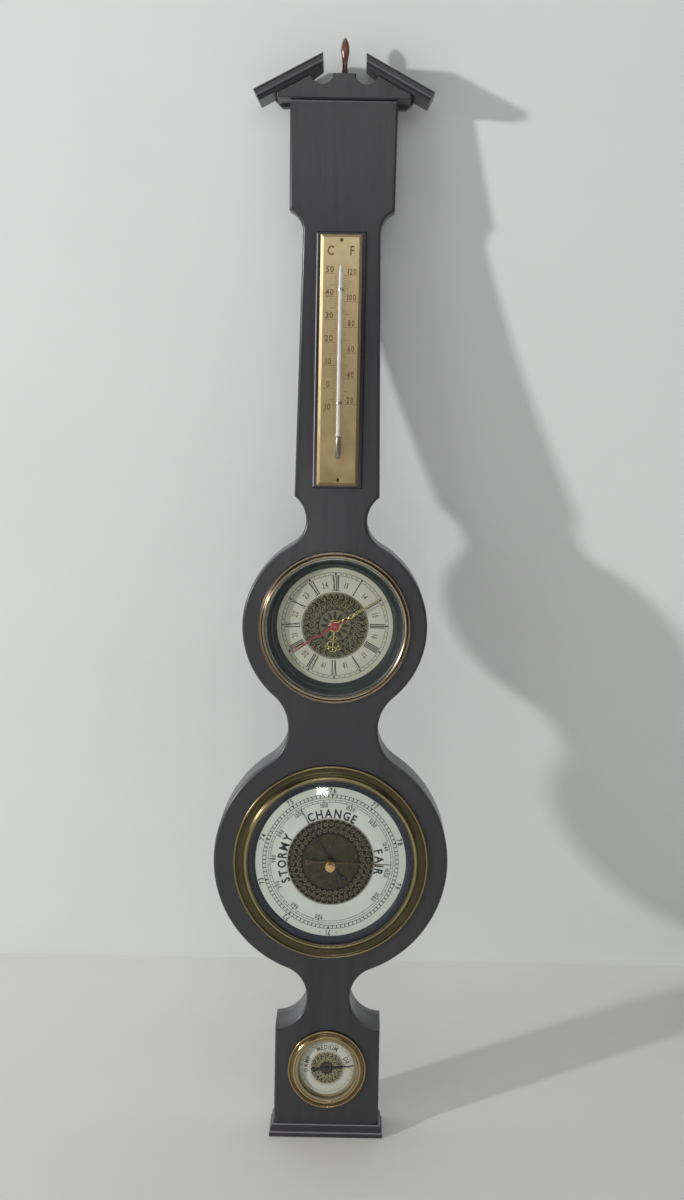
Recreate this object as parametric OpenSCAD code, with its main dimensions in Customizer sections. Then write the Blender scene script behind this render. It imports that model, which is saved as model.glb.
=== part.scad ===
// Wall weather station: a wooden case that hangs on a wall, with a thermometer,
// a quartz clock, an aneroid barometer and a hygrometer.
//
// Every piece is drawn in face coordinates: x to the viewer's right, y up from the
// bottom of the case, z out from the wall. place() turns that frame upright and sets
// the origin at the hanging hole in the back, on the wall plane.

/* [Case] */
// Radius of the round behind the clock
clock_round_r = 81.2; // [79:0.1:83]
// Radius of the round behind the barometer
barometer_round_r = 103.4; // [101:0.1:106]
// Height of the clock's centre
clock_y = 454.5; // [452:0.5:457]
// Height of the barometer's centre
barometer_y = 246.5; // [244:0.5:248]
// Height of the hygrometer's centre
hygrometer_y = 60.3; // [58:0.1:61.5]
// Width of the box at the bottom
box_w = 92.8; // [90:0.1:96]
// Radius of the hollows between the box and the barometer round
low_neck_r = 27.2; // [26:0.1:28]
// Radius of the hollows between the two rounds
waist_r = 37.2; // [34:0.1:40]
// Radius of the hollows between the clock round and the stem
high_neck_r = 26.3; // [25:0.1:28]
// Height of the centres of the hollows above the clock round
high_neck_y = 548; // [547:0.5:550]
// Width of the stem at its top
stem_top_w = 67.4; // [66:0.1:69]
// Width of the stem at its foot
stem_foot_w = 74; // [72:0.1:76]
// Width of the head at its top
head_top_w = 93.6; // [92:0.1:95]
// Width of the head at its foot
head_foot_w = 90; // [88:0.1:91]
// Height of the top of the head, under the pediment
head_top_y = 912.9; // [910:0.1:915]
// Thickness of the back board
back_t = 8; // [8:0.5:10]
// Thickness of the front board
front_t = 22; // [21:0.5:23]

/* [Pediment and base] */
// Slope of the raking cornices
rake_angle = 28.5; // [28:0.1:29]
// Distance from the centre line to a cornice's outer tip
cornice_tip_x = 78; // [77:0.5:80]
// Distance from the centre line to a cornice's inner end
cornice_inner_x = 18.7; // [18:0.1:20]
// Thickness of a cornice, square to its slope
cornice_h = 10.8; // [10:0.1:11.5]
// How far the pediment's face stands in front of the front board
pediment_proud = 5; // [4:0.5:10]
// How far the cornices stand in front of the pediment's face
cornice_proud = 4; // [3:0.5:5]
// Half width of the plinth that carries the finial
plinth_x = 10; // [9.5:0.1:11]
// Height of the finial above its plinth
finial_h = 33.9; // [32:0.1:36]
// Height of the base moulding
base_h = 10.5; // [10:0.1:12]
// How far the base moulding's lower lip stands out
base_lip = 3.7; // [3:0.1:4]

/* [Hanger] */
// Height of the hanging hole
hanger_y = 870; // [868:1:875]
// Radius of the round part of the keyhole
keyhole_r = 4.5; // [4.3:0.1:4.8]
// Width of the keyhole's slot
keyhole_slot = 4.5; // [4:0.1:5]
// Thickness of the hanger plate
hanger_t = 2; // [1.5:0.1:2]

/* [Thermometer] */
// Width of the metal scale plate
scale_w = 36; // [34:0.5:38]
// Length of the metal scale plate
scale_h = 217.6; // [212:0.5:220]
// Height of the plate's centre
scale_y = 688.2; // [687:0.1:690]
// Thickness of the dark backing
backing_t = 1.5; // [1.2:0.1:2]
// Thickness of the scale plate
scale_t = 2.5; // [2:0.1:3]
// Radius of the glass tube
tube_r = 1.7; // [1.6:0.05:1.8]
// Radius of the bulb
bulb_r = 2.7; // [2.5:0.05:2.9]

/* [Clock] */
// Outer radius of the clock bezel
clock_bezel_r = 67; // [66:0.1:69]
// Radius of the opening in the clock bezel
clock_lip_r = 61; // [60.5:0.1:61.3]
// Radius of the clock dial that shows inside the well
clock_dial_r = 51.3; // [50:0.1:52]
// Distance of the clock dial's face from the wall
clock_dial_z = 21; // [20.8:0.1:21.2]
// Hour that the clock shows
shown_hour = 6; // [0:1:11]
// Minute that the clock shows
shown_minute = 9.6; // [0:0.01:59.9]
// Second that the clock shows
shown_second = 40; // [0:1:59]

/* [Barometer] */
// Outer radius of the barometer bezel
barometer_bezel_r = 86; // [84:0.1:88]
// Radius of the opening in the barometer bezel
barometer_lip_r = 72.5; // [72:0.1:73]
// Radius of the barometer dial that shows inside the well
barometer_dial_r = 66.8; // [66:0.1:67.5]
// How far the barometer glass domes
glass_dome = 6; // [5.5:0.1:7]
// Angle that the pressure hand shows, clockwise from the top
pressure_angle = -29.5; // [-169:0.5:127]
// Angle of the set hand, clockwise from the top
set_angle = 91; // [0:1:359]

/* [Hygrometer] */
// Outer radius of the hygrometer bezel
hygrometer_bezel_r = 34.8; // [34:0.1:35.5]
// Radius of the opening in the hygrometer bezel
hygrometer_lip_r = 25.8; // [25.5:0.1:26]
// Angle that the humidity hand shows, clockwise from the top
humidity_angle = 84; // [-120:1:120]

/* [Fits] */
// Radial clearance of a shaft in its bearing
running = 0.04; // [0.02:0.01:0.08]
// Clearance round pieces that drop into the case
drop_in = 0.5; // [0.3:0.05:0.8]

/* [Hidden] */
$fn = 96;

board_z = back_t + front_t;
pediment_z = board_z + pediment_proud;
cornice_z = pediment_z + cornice_proud;
wood = "#3d393b";
brass = "#a08a4c";
steel = "#9a9a98";
card = "#d8d4bd";

// Frames and small helpers

module place() {
    translate([0, 0, -hanger_y])
        rotate([90, 0, 0])
            children();
}

// Stands a piece at an instrument's centre
module at(y) {
    translate([0, y, 0])
        children();
}

// Extrudes a plan drawn in x and z upward from height y
module rise(y, h) {
    translate([0, y, 0])
        rotate([90, 0, 0])
            mirror([0, 0, 1])
                linear_extrude(h)
                    children();
}

// Flat pieces between two distances from the wall
module sheet(z0, z1) {
    translate([0, 0, z0])
        for (i = [0 : $children - 1])
            linear_extrude(z1 - z0)
                children(i);
}

module disc(r, z0, z1) {
    translate([0, 0, z0])
        cylinder(r = r, h = z1 - z0);
}

module tube(r_out, r_in, z0, z1) {
    difference() {
        disc(r_out, z0, z1);
        disc(r_in, z0 - 1, z1 + 1);
    }
}

// A turned piece: points are [radius, z]
module turned(points) {
    rotate_extrude()
        polygon(points);
}

module box(x0, x1, y0, y1, z0, z1) {
    translate([x0, y0, z0])
        cube([x1 - x0, y1 - y0, z1 - z0]);
}

// Turns a hand clockwise from the top
module turn_to(angle) {
    rotate([0, 0, -angle])
        children();
}

// Outline of the case

bite = 0.02;
low_neck_y = barometer_y
    - sqrt(pow(barometer_round_r + low_neck_r - bite, 2) - pow(box_w / 2, 2));
box_top_y = low_neck_y - low_neck_r;
rounds_gap = clock_y - barometer_y;
waist_from_clock = (pow(clock_round_r + waist_r, 2) - pow(barometer_round_r + waist_r, 2)
    + pow(rounds_gap, 2)) / (2 * rounds_gap);
waist_y = clock_y - waist_from_clock;
waist_x = sqrt(pow(clock_round_r + waist_r, 2) - pow(waist_from_clock, 2)) - bite;
high_neck_x = sqrt(pow(clock_round_r + high_neck_r - bite, 2)
    - pow(high_neck_y - clock_y, 2));
stem_foot_y = high_neck_y + 21.3;
stem_top_y = 799;
shoulder_y = 819.5;
shoulder_r = 21;

// Point on a round where it meets the hollow whose centre is (x, y)
function meet(round_y, round_r, x, y) = let (d = norm([x, y - round_y]))
    [x * round_r / d, round_y + (y - round_y) * round_r / d];

module both_sides() {
    children();
    mirror([1, 0])
        children();
}

module neck(low, high, x, y, r) {
    difference() {
        polygon([[-low[0], low[1]], low, high, [-high[0], high[1]]]);
        both_sides()
            translate([x, y])
                circle(r = r, $fn = 160);
    }
}

module case_outline() {
    low_meet = meet(barometer_y, barometer_round_r, box_w / 2, low_neck_y);
    waist_low = meet(barometer_y, barometer_round_r, waist_x, waist_y);
    waist_high = meet(clock_y, clock_round_r, waist_x, waist_y);
    high_meet = meet(clock_y, clock_round_r, high_neck_x, high_neck_y);
    translate([-box_w / 2, 0])
        square([box_w, box_top_y + 0.01]);
    neck([box_w / 2, box_top_y], low_meet + [1, 1.5], box_w / 2, low_neck_y, low_neck_r);
    translate([0, barometer_y])
        circle(r = barometer_round_r, $fn = 240);
    neck(waist_low + [1, -1.5], waist_high + [1, 1.5], waist_x, waist_y, waist_r);
    translate([0, clock_y])
        circle(r = clock_round_r, $fn = 240);
    neck(high_meet + [1, -1.5], [stem_foot_w / 2, stem_foot_y], high_neck_x,
        high_neck_y, high_neck_r);
    polygon([[-stem_foot_w / 2, stem_foot_y], [stem_foot_w / 2, stem_foot_y],
        [stem_top_w / 2, stem_top_y], [-stem_top_w / 2, stem_top_y]]);
    neck([stem_top_w / 2 + 0.2, stem_top_y - 0.1], [head_foot_w / 2, shoulder_y],
        stem_top_w / 2 + shoulder_r, stem_top_y + 1, shoulder_r);
    polygon([[-head_foot_w / 2, shoulder_y], [head_foot_w / 2, shoulder_y],
        [head_top_w / 2, head_top_y], [-head_top_w / 2, head_top_y]]);
}

// Height of a cornice's top line and underside at a distance x from the centre line
cornice_tip_y = head_top_y + 6;
function cornice_top(x) = cornice_tip_y + (cornice_tip_x - x) * tan(rake_angle);
function cornice_under(x) = cornice_top(x) - cornice_h / cos(rake_angle);
tympanum_x = 57.7;
tympanum_h = 21.5;
plinth_h = 12;
plinth_y = head_top_y + tympanum_h;
notch_r = 10.5;
notch_x = 19;
notch_y = plinth_y + 1.1;
ear_x = 62;
ear_drop = 2.4;
ear_corner = 7.3;
ear_set_back = 3;
ear_step_x = 24;
cornice_end_y = plinth_y + 6.8;
cornice_trim_x = 30.2;
far = board_z + 30;

module notches() {
    both_sides()
        translate([notch_x, notch_y])
            circle(r = notch_r);
}

module plinth() {
    translate([-plinth_x, plinth_y - plinth_h])
        square([2 * plinth_x, plinth_h]);
}

module tympanum_outline() {
    flat_x = cornice_tip_x - (plinth_y + cornice_h / cos(rake_angle) - cornice_tip_y)
        / tan(rake_angle);
    difference() {
        polygon([[-tympanum_x, head_top_y], [tympanum_x, head_top_y],
            [tympanum_x, cornice_under(tympanum_x)], [flat_x, plinth_y],
            [-flat_x, plinth_y], [-tympanum_x, cornice_under(tympanum_x)]]);
        notches();
    }
    plinth();
}

// The ears of the back board reach past the tympanum and up behind the cornices
module ears() {
    low_y = head_top_y - ear_drop;
    mid_y = head_top_y + 7;
    edge_y = cornice_top(ear_x) - ear_set_back;
    step_y = cornice_top(ear_step_x) - ear_set_back;
    difference() {
        polygon([[-ear_x + ear_corner, low_y], [ear_x - ear_corner, low_y],
            [ear_x, low_y + ear_corner], [ear_x, edge_y], [ear_step_x, step_y],
            [ear_step_x, mid_y], [-ear_step_x, mid_y], [-ear_step_x, step_y],
            [-ear_x, edge_y], [-ear_x, low_y + ear_corner]]);
        notches();
    }
}

// Wooden case

clock_hole_r = 61;
clock_back_hole_r = 42;
barometer_hole_r = 71;
hygrometer_hole_r = 27.6;
pin_r = 0.8;
pin_inset = 5;
pin_top_y = scale_y + scale_h / 2 - pin_inset;
pin_low_y = scale_y - scale_h / 2 + pin_inset;
keyhole_rise = 9;
pocket_r = 5.6;
adjust_x = 0;

module back_board() {
    color(wood) place()
        difference() {
            sheet(0, back_t) {
                case_outline();
                tympanum_outline();
                ears();
            }
            at(clock_y) disc(clock_back_hole_r, -1, back_t + 1);
            at(barometer_y) disc(5, -1, back_t + 1);
            at(hanger_y) {
                box(-10, 10, -17, 25, -1, hanger_t);
                disc(pocket_r, -1, 7);
                box(-pocket_r, pocket_r, 0, keyhole_rise, -1, 7);
                translate([0, keyhole_rise, 0]) disc(pocket_r, -1, 7);
                for (y = screw_ys) translate([0, y, 0]) disc(screw_r, 0, 6.6);
            }
        }
}

module front_board() {
    color(wood) place()
        difference() {
            sheet(back_t, board_z) case_outline();
            at(clock_y) disc(clock_hole_r, back_t - 1, board_z + 1);
            at(barometer_y) disc(barometer_hole_r, back_t - 1, board_z + 1);
            at(hygrometer_y) disc(hygrometer_hole_r, back_t - 1, board_z + 1);
            for (y = [pin_low_y, pin_top_y])
                translate([0, y, 0]) disc(pin_r, board_z - 8, board_z + 1);
        }
}

finial_z = back_t + (pediment_z - back_t) / 2;
dowel_r = 1.5;
dowel_l = 8;

module tympanum() {
    color(wood) place()
        difference() {
            sheet(back_t, pediment_z) tympanum_outline();
            translate([0, 0, finial_z])
                rise(plinth_y - dowel_l - 0.2, dowel_l + 10) circle(r = dowel_r + running);
        }
}

module cornice() {
    run = (cornice_tip_x - cornice_inner_x) / cos(rake_angle);
    cove_r = cornice_h - 7.4;
    difference() {
        translate([-cornice_inner_x, cornice_top(cornice_inner_x), 0])
            rotate([0, 0, rake_angle])
                translate([12, 0, 0])
                    rotate([0, -90, 0])
                        linear_extrude(run + 12)
                            difference() {
                                translate([back_t, -cornice_h])
                                    square([cornice_z - back_t, cornice_h]);
                                translate([cornice_z, -cornice_h])
                                    circle(r = cove_r);
                            }
        box(-cornice_inner_x, 20, head_top_y - 10, head_top_y + 80, 0, far);
        sheet(0, far)
            polygon([[-cornice_inner_x, cornice_end_y], [10, cornice_end_y],
                [10, head_top_y + 7], [-cornice_trim_x, head_top_y + 7],
                [-cornice_trim_x, cornice_under(cornice_trim_x)]]);
    }
}

module cornice_left() {
    color(wood) place() cornice();
}

module cornice_right() {
    color(wood) place() mirror([1, 0, 0]) cornice();
}

module finial() {
    k = finial_h / 33.9;
    color("#6e4b3c") place()
        translate([0, plinth_y, finial_z])
            rotate([-90, 0, 0])
                turned([[0, -dowel_l], [dowel_r, -dowel_l], [dowel_r, 0], [3.5, 0], [3.5, 0.9 * k],
                    [2.9, 2.4 * k], [2.4, 5 * k], [2.2, 9 * k], [2.4, 13 * k],
                    [3.1, 17 * k], [3.7, 20.5 * k], [3.85, 23 * k], [3.6, 26 * k],
                    [2.9, 29 * k], [1.8, 31.8 * k], [0.8, 33.3 * k], [0, 33.9 * k]]);
}

// U-shaped strips of the base moulding, each drawn in plan
module base_strip(out, y0, y1) {
    rise(y0, y1 - y0)
        difference() {
            translate([-box_w / 2 - out, back_t])
                square([box_w + 2 * out, front_t + out]);
            translate([-box_w / 2, back_t - 1])
                square([box_w, front_t + 1]);
        }
}

module base_moulding() {
    color(wood) place() {
        base_strip(base_lip, 0, 4.3);
        base_strip(base_lip - 0.6, 4.3, 4.9);
        base_strip(base_lip - 1.3, 4.9, base_h - 1.4);
        base_strip(base_lip - 2, base_h - 1.4, base_h);
    }
}

// Hanger

screw_ys = [-12, 20];
screw_r = 1.5;

module hanger_plate() {
    color(brass) place() at(hanger_y)
        difference() {
            sheet(0, hanger_t)
                translate([-9.8, -16.8]) square([19.6, 41.6]);
            disc(keyhole_r, -1, 4);
            box(-keyhole_slot / 2, keyhole_slot / 2, 0, keyhole_rise, -1, 4);
            translate([0, keyhole_rise, 0]) disc(keyhole_slot / 2, -1, 4);
            for (y = screw_ys)
                translate([0, y, 0]) {
                    disc(screw_r + 0.1, -1, 4);
                    translate([0, 0, -0.01]) cylinder(r1 = 3.1, r2 = screw_r + 0.1, h = 1.5);
                }
        }
}

module hanger_screws() {
    color(steel) place() at(hanger_y)
        for (y = screw_ys)
            translate([0, y, 0])
                difference() {
                    turned([[0, 0.1], [2.9, 0.1], [screw_r, 1.5], [screw_r, 5.6],
                        [0, 6.5]]);
                    box(-0.4, 0.4, -4, 4, -1, 0.6);
                }
}

// Thermometer

plate_z = board_z + backing_t;
plate_face_z = plate_z + scale_t;
tube_z = plate_face_z + bulb_r + 0.3;
bulb_y = scale_y - 74.4;
tube_top_y = scale_y + 83;
clip_ys = [scale_y - 36.9, scale_y + 61];
clip_t = 0.5;
column_r = 0.45;

module thermometer_backing() {
    color("#2b2a2e") place()
        difference() {
            translate([0, scale_y, board_z])
                translate([-scale_w / 2 - 3.7, -scale_h / 2 - 2.7, 0])
                    cube([scale_w + 7.4, scale_h + 5.4, backing_t]);
            for (y = [pin_low_y, pin_top_y])
                translate([0, y, 0]) disc(pin_r + 0.05, 0, 60);
        }
}

module thermometer_plate() {
    bevel = 2.6;
    color("#c2a565") place()
        difference() {
            hull() {
                translate([-scale_w / 2, scale_y - scale_h / 2, plate_z])
                    cube([scale_w, scale_h, 0.4]);
                translate([-scale_w / 2 + bevel, scale_y - scale_h / 2 + bevel, plate_z])
                    cube([scale_w - 2 * bevel, scale_h - 2 * bevel, scale_t]);
            }
            for (y = [pin_low_y, pin_top_y])
                translate([0, y, 0]) disc(pin_r + 0.05, 0, 60);
            for (y = clip_ys, side = [-1, 1])
                box(side * (tube_r + 0.4) - 0.5, side * (tube_r + 0.4) + 0.5,
                    y - 1.2, y + 1.2, 0, 60);
        }
}

// Points of the glass outline, [radius, height]
bulb_points = [[0, bulb_y - 11.7], [1.5, bulb_y - 11.2], [2.4, bulb_y - 9.6],
    [bulb_r, bulb_y - 7], [bulb_r, bulb_y + 7], [2.3, bulb_y + 9.6],
    [tube_r, bulb_y + 12], [tube_r, tube_top_y - 11], [1.5, tube_top_y - 7],
    [1.1, tube_top_y - 3], [0.7, tube_top_y - 0.6], [0, tube_top_y]];

// Points of the liquid, which fills the bulb and part of the bore
liquid_top_y = scale_y + 24.8;
liquid_points = [[0, bulb_y - 11], [1, bulb_y - 10.6], [1.8, bulb_y - 9.2],
    [bulb_r - 0.6, bulb_y - 6.8], [bulb_r - 0.6, bulb_y + 6.8], [1.7, bulb_y + 9.2],
    [column_r, bulb_y + 12.4], [column_r, liquid_top_y], [0, liquid_top_y]];

module upright_turn(points) {
    translate([0, 0, tube_z])
        rotate([-90, 0, 0])
            rotate_extrude($fn = 48)
                polygon(points);
}

module thermometer_tube() {
    color("#c9d2d4") place()
        difference() {
            upright_turn(bulb_points);
            upright_turn(liquid_points);
            translate([0, 0, tube_z])
                rise(liquid_top_y - 1, tube_top_y - liquid_top_y + 2) circle(r = column_r);
        }
}

module thermometer_column() {
    color("#8d9092") place()
        upright_turn(liquid_points);
}

module tube_clips() {
    color(brass) place()
        for (y = clip_ys)
            difference() {
                union() {
                    translate([0, 0, tube_z])
                        rise(y - 1, 2) circle(r = tube_r + 0.05 + clip_t);
                    box(-tube_r - 0.05 - clip_t, tube_r + 0.05 + clip_t, y - 1, y + 1,
                        plate_z, tube_z);
                }
                translate([0, 0, tube_z])
                    rise(y - 2, 4) circle(r = tube_r + 0.05);
                box(-tube_r - 0.05, tube_r + 0.05, y - 2, y + 2, plate_z - 1, tube_z);
            }
}

module plate_pins() {
    color(brass) place()
        for (y = [pin_low_y, pin_top_y])
            translate([0, y, 0])
                turned([[0, board_z - 7.5], [pin_r - 0.02, board_z - 6.5],
                    [pin_r - 0.02, plate_face_z], [1.6, plate_face_z],
                    [1.3, plate_face_z + 0.6], [0.6, plate_face_z + 0.95],
                    [0, plate_face_z + 1.05]]);
}

// Domed glass: a shell between two equal caps, with an optional hole
function cap_z(r, edge_r, dome) = let (s = (edge_r * edge_r + dome * dome) / (2 * dome))
    dome - s + sqrt(s * s - r * r);

module domed_glass(edge_r, dome, z0, t, hole_r) {
    steps = 14;
    radii = [for (i = [0 : steps]) hole_r + (edge_r - hole_r) * i / steps];
    rotate_extrude($fn = 120)
        polygon(concat(
            [for (r = radii) [r, z0 + cap_z(r, edge_r, dome)]],
            [for (i = [steps : -1 : 0])
                [radii[i], z0 + t + cap_z(radii[i], edge_r, dome)]]));
}

// Hands

// A strip that winds about the y axis from y0 to y1 and narrows from w0 to w1
function winding(y0, y1, sway, waves, w0, w1, steps = 36) = concat(
    [for (i = [0 : steps]) let (t = i / steps)
        [sway * (1 - 0.6 * t) * sin(360 * waves * t) - (w0 + (w1 - w0) * t) / 2,
            y0 + (y1 - y0) * t]],
    [for (i = [steps : -1 : 0]) let (t = i / steps)
        [sway * (1 - 0.6 * t) * sin(360 * waves * t) + (w0 + (w1 - w0) * t) / 2,
            y0 + (y1 - y0) * t]]);

module ring(x, y, r_out, r_in) {
    translate([x, y])
        difference() {
            circle(r = r_out, $fn = 32);
            circle(r = r_in, $fn = 32);
        }
}

module hub(r, bore) {
    difference() {
        circle(r = r, $fn = 48);
        circle(r = bore, $fn = 48);
    }
}

// Gears

// Points of a wheel of n teeth: straight flanks with backlash on both sides
function wheel_points(n, m) = [for (i = [0 : n - 1], k = [0 : 3])
    let (edge = k == 0 || k == 3,
        r = n * m / 2 + (edge ? -1.2 : 0.8) * m,
        a = 360 / n * (i + [-0.27, -0.12, 0.12, 0.27][k]))
    [r * cos(a), r * sin(a)]];

module teeth(n, m, phase) {
    rotate(phase)
        polygon(wheel_points(n, m));
}

// Phase of a wheel b that meshes with a wheel a lying the other way along dir
function mesh_phase(a, na, dir, nb) = dir + 180 + (dir - a) * na / nb + 180 / nb;

// Place of an arbor at a distance and direction from another
function from(p, d, dir) = p + d * [cos(dir), sin(dir)];

// Clock movement: tooth counts, tooth sizes and places of the arbors
cannon_n = 12;
motion_n = 36;
motion_pinion_n = 10;
hour_n = 40;
setting_n = 12;
rotor_n = 8;
intermediate_n = 48;
intermediate_pinion_n = 12;
second_n = 60;
second_pinion_n = 8;
third_n = 64;
third_pinion_n = 8;
centre_n = 60;
motion_m = 0.4;
hour_m = motion_m * (cannon_n + motion_n) / (motion_pinion_n + hour_n);
third_m = 0.33;
centre_m = third_m * (second_pinion_n + third_n) / (third_pinion_n + centre_n);
second_m = 0.34;
rotor_m = 0.3;
motion_dir = 160;
setting_dir = 180;
third_dir = 35;
intermediate_dir = 95;
rotor_dir = 120;
motion_at = from([0, 0], motion_m * (cannon_n + motion_n) / 2, motion_dir);
setting_at = from(motion_at, motion_m * (motion_n + setting_n) / 2, setting_dir);
third_at = from([0, 0], third_m * (second_pinion_n + third_n) / 2, third_dir);
intermediate_at = from([0, 0], second_m * (second_n + intermediate_pinion_n) / 2,
    intermediate_dir);
rotor_at = from(intermediate_at, rotor_m * (rotor_n + intermediate_n) / 2, rotor_dir);
motion_phase = mesh_phase(motion_dir, cannon_n, motion_dir, motion_n);

// Depths in the clock, from the wall
case_half = 28;
case_back_z = 3;
cover_z = 4.2;
front_wall_z = 17.8;
case_front_z = clock_dial_z - 2;
bearing_back_z = 3.7;
bearing_front_z = 18.3;
cup_t = 0.8;
cup_r = clock_hole_r - drop_in;
clock_glass_r = clock_lip_r + 1.8;
clock_glass_t = 1.5;
clock_flange_r = clock_glass_r + 1.7;
flange_t = 0.6;
ring_gap = 0.2;
bead_r = clock_dial_r + 3.3;
arbor_r = 0.5;
second_r = 0.6;
cannon_r = 1.3;
hour_r = 2.1;
bushing_r = 3.9;
setting_r = 0.8;
post_r = 1;
bay_y = -11.3;
battery_r = 7.1;

hour_z = 23.5;
minute_z = 24.9;
second_z = 26.4;
minute_angle = 6 * shown_minute;
hour_angle = 30 * shown_hour + shown_minute / 2;
second_angle = 6 * shown_second;

module clock_cup() {
    color(steel) place() at(clock_y)
        turned([[bushing_r + 0.6, case_front_z], [cup_r, case_front_z], [cup_r, board_z],
            [clock_flange_r, board_z], [clock_flange_r, board_z + flange_t],
            [cup_r - cup_t, board_z + flange_t],
            [cup_r - cup_t, case_front_z + cup_t],
            [bushing_r + 0.6, case_front_z + cup_t]]);
}

module clock_bezel() {
    r = clock_bezel_r;
    lip = clock_lip_r;
    z = board_z;
    under_z = z + flange_t + clock_glass_t + 0.05;
    back_r = clock_flange_r + ring_gap;
    rim_r = clock_glass_r + ring_gap;
    color(brass) place() at(clock_y)
        turned([[back_r, z], [r, z], [r, z + 1.3], [r - 0.7, z + 1.9], [r - 1.8, z + 1.8],
            [r - 2.9, z + 2.2], [r - 3.5, z + 3.2], [r - 4.2, z + 3.6], [r - 5, z + 3.3],
            [lip, z + 2.9], [lip, under_z], [rim_r, under_z], [rim_r, z + flange_t + 0.05],
            [back_r, z + flange_t + 0.05]]);
}

module clock_glass() {
    color("#cfd8da") place() at(clock_y)
        disc(clock_glass_r, board_z + flange_t, board_z + flange_t + clock_glass_t);
}

module clock_well() {
    r = clock_dial_r;
    z = clock_dial_z;
    top = board_z + 0.5;
    color("#46474c") place() at(clock_y)
        turned([[r, z], [r + 1.2, z], [cup_r - cup_t, z + 8.2], [cup_r - cup_t, top],
            [cup_r - cup_t - 0.8, top], [bead_r + 1, z + 5.6], [bead_r + 1, z + 6.4],
            [bead_r, z + 6.4], [bead_r, z + 4.4]]);
}

module clock_dial() {
    color(card) place() at(clock_y)
        tube(cup_r - cup_t - 0.2, bushing_r + 0.1, case_front_z + cup_t, clock_dial_z);
}

module centre_nut() {
    color(brass) place() at(clock_y)
        difference() {
            sheet(clock_dial_z, clock_dial_z + 1.6) circle(r = 6.2, $fn = 6);
            disc(bushing_r + 0.02, 0, 60);
        }
}

module hour_hand() {
    color("#b49a52") place() at(clock_y) turn_to(hour_angle)
        sheet(hour_z, hour_z + 0.6) {
            hub(4, hour_r + 0.01);
            polygon(winding(3.6, 9, 0, 1, 2, 1.5, 4));
            for (side = [-1, 1]) {
                ring(side * 1.5, 10.6, 2.1, 1.2);
                ring(side * 2.3, 16.3, 3, 2);
                ring(side * 5.2, 19.3, 2, 1.1);
                ring(side * 1.6, 20.9, 2.2, 1.3);
            }
            polygon(winding(8, 25.6, 0, 1, 1.6, 0.5, 8));
        }
}

module minute_hand() {
    color("#b49a52") place() at(clock_y) turn_to(minute_angle)
        sheet(minute_z, minute_z + 0.5) {
            hub(3.3, cannon_r + 0.01);
            polygon(winding(3, 31, 1.9, 2.5, 1.3, 0.9, 48));
            polygon(winding(3, 31, -1.9, 2.5, 1.3, 0.9, 48));
            polygon(winding(30.6, 49, 0, 1, 1.3, 0.5, 4));
        }
}

module second_hand() {
    color("#b5463c") place() at(clock_y) turn_to(second_angle)
        sheet(second_z, second_z + 0.4) {
            hub(3.9, second_r + 0.01);
            polygon(winding(3.6, 46, 1, 3, 1.9, 0.7, 64));
            translate([0, -3.6]) rotate(180)
                polygon(winding(-0.2, 10, 0.6, 1, 1.1, 0.9, 16));
        }
}

// Blind bearing holes in one wall of the movement
module bearings(z0, z1) {
    for (p = [intermediate_at, rotor_at, third_at])
        translate(p) disc(arbor_r + running, z0, z1);
    translate(setting_at) disc(setting_r + running, z0, z1);
}

module movement_case() {
    inner = case_half - 1.2;
    color("#2e2e30") place() at(clock_y)
        difference() {
            union() {
                difference() {
                    box(-case_half, case_half, -case_half, case_half, case_back_z,
                        case_front_z);
                    box(-case_half - 1, case_half + 1, bay_y - 0.4, case_half + 1, 0,
                        cover_z);
                    box(-inner, inner, bay_y, inner, 0, front_wall_z);
                    box(-inner, inner, -inner, bay_y - 0.8, 0, front_wall_z);
                    for (side = [-1, 1])
                        box(side * 26.1 - 0.5, side * 26.1 + 0.5, bay_y - 2, bay_y + 1,
                            13, 15.8);
                }
                disc(bushing_r, front_wall_z, clock_dial_z + 2.1);
                translate(motion_at) disc(post_r, 13.4, front_wall_z + 0.1);
            }
            disc(hour_r + running, 0, 60);
            bearings(front_wall_z - 1, bearing_front_z + 0.1);
        }
}

module movement_cover() {
    color("#39393b") place() at(clock_y)
        difference() {
            box(-case_half, case_half, bay_y - 0.4, case_half, case_back_z, cover_z);
            bearings(bearing_back_z - 0.1, 5);
            translate(setting_at) disc(setting_r + running, 0, 5);
            disc(second_r + running, bearing_back_z - 0.1, 5);
        }
}

module battery() {
    color("#4a6a56") place() at(clock_y)
        translate([0, bay_y - 0.8 - battery_r - 0.2, case_back_z + 0.3 + battery_r])
            rotate([0, 90, 0]) {
                translate([0, 0, -24.6]) cylinder(r = battery_r, h = 49);
                translate([0, 0, 24.3]) cylinder(r = 2.7, h = 1.1);
            }
}

module circuit_board() {
    y = bay_y - 0.8 - battery_r - 0.2;
    color("#3f6b4c") place() at(clock_y) {
        difference() {
            box(12.5, 26.5, bay_y + 0.1, 12, 14.4, 15.4);
            box(25.4, 27, bay_y - 1, bay_y + 2, 14, 16);
        }
        translate([19, 4, 15.2]) cylinder(r = 3, h = 1.4);
        translate([15.5, -8, 16.2]) rotate([-90, 0, 0]) cylinder(r = 1.4, h = 8);
        box(25.8, 26.3, y - 5, bay_y + 2, 13.2, 15.4);
        box(25.8, 26.3, y - 5, y + 5, 5, 13.2);
        box(24.6, 26.3, bay_y + 0.8, bay_y + 2, 14.4, 15.4);
        box(-26.3, -25.8, y - 5, bay_y + 0.5, 13.2, 15.4);
        box(-26.3, -25.8, y - 5, y + 5, 5, 13.2);
        box(-26.3, 13, bay_y + 0.1, bay_y + 0.5, 13.6, 15.4);
        translate([-25.9, y, case_back_z + 0.3 + battery_r]) rotate([0, 90, 0])
            cylinder(r1 = 3.4, r2 = 1.6, h = 1.2);
    }
}

coil_y = 22.8;
coil_z = 12.6;

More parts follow.
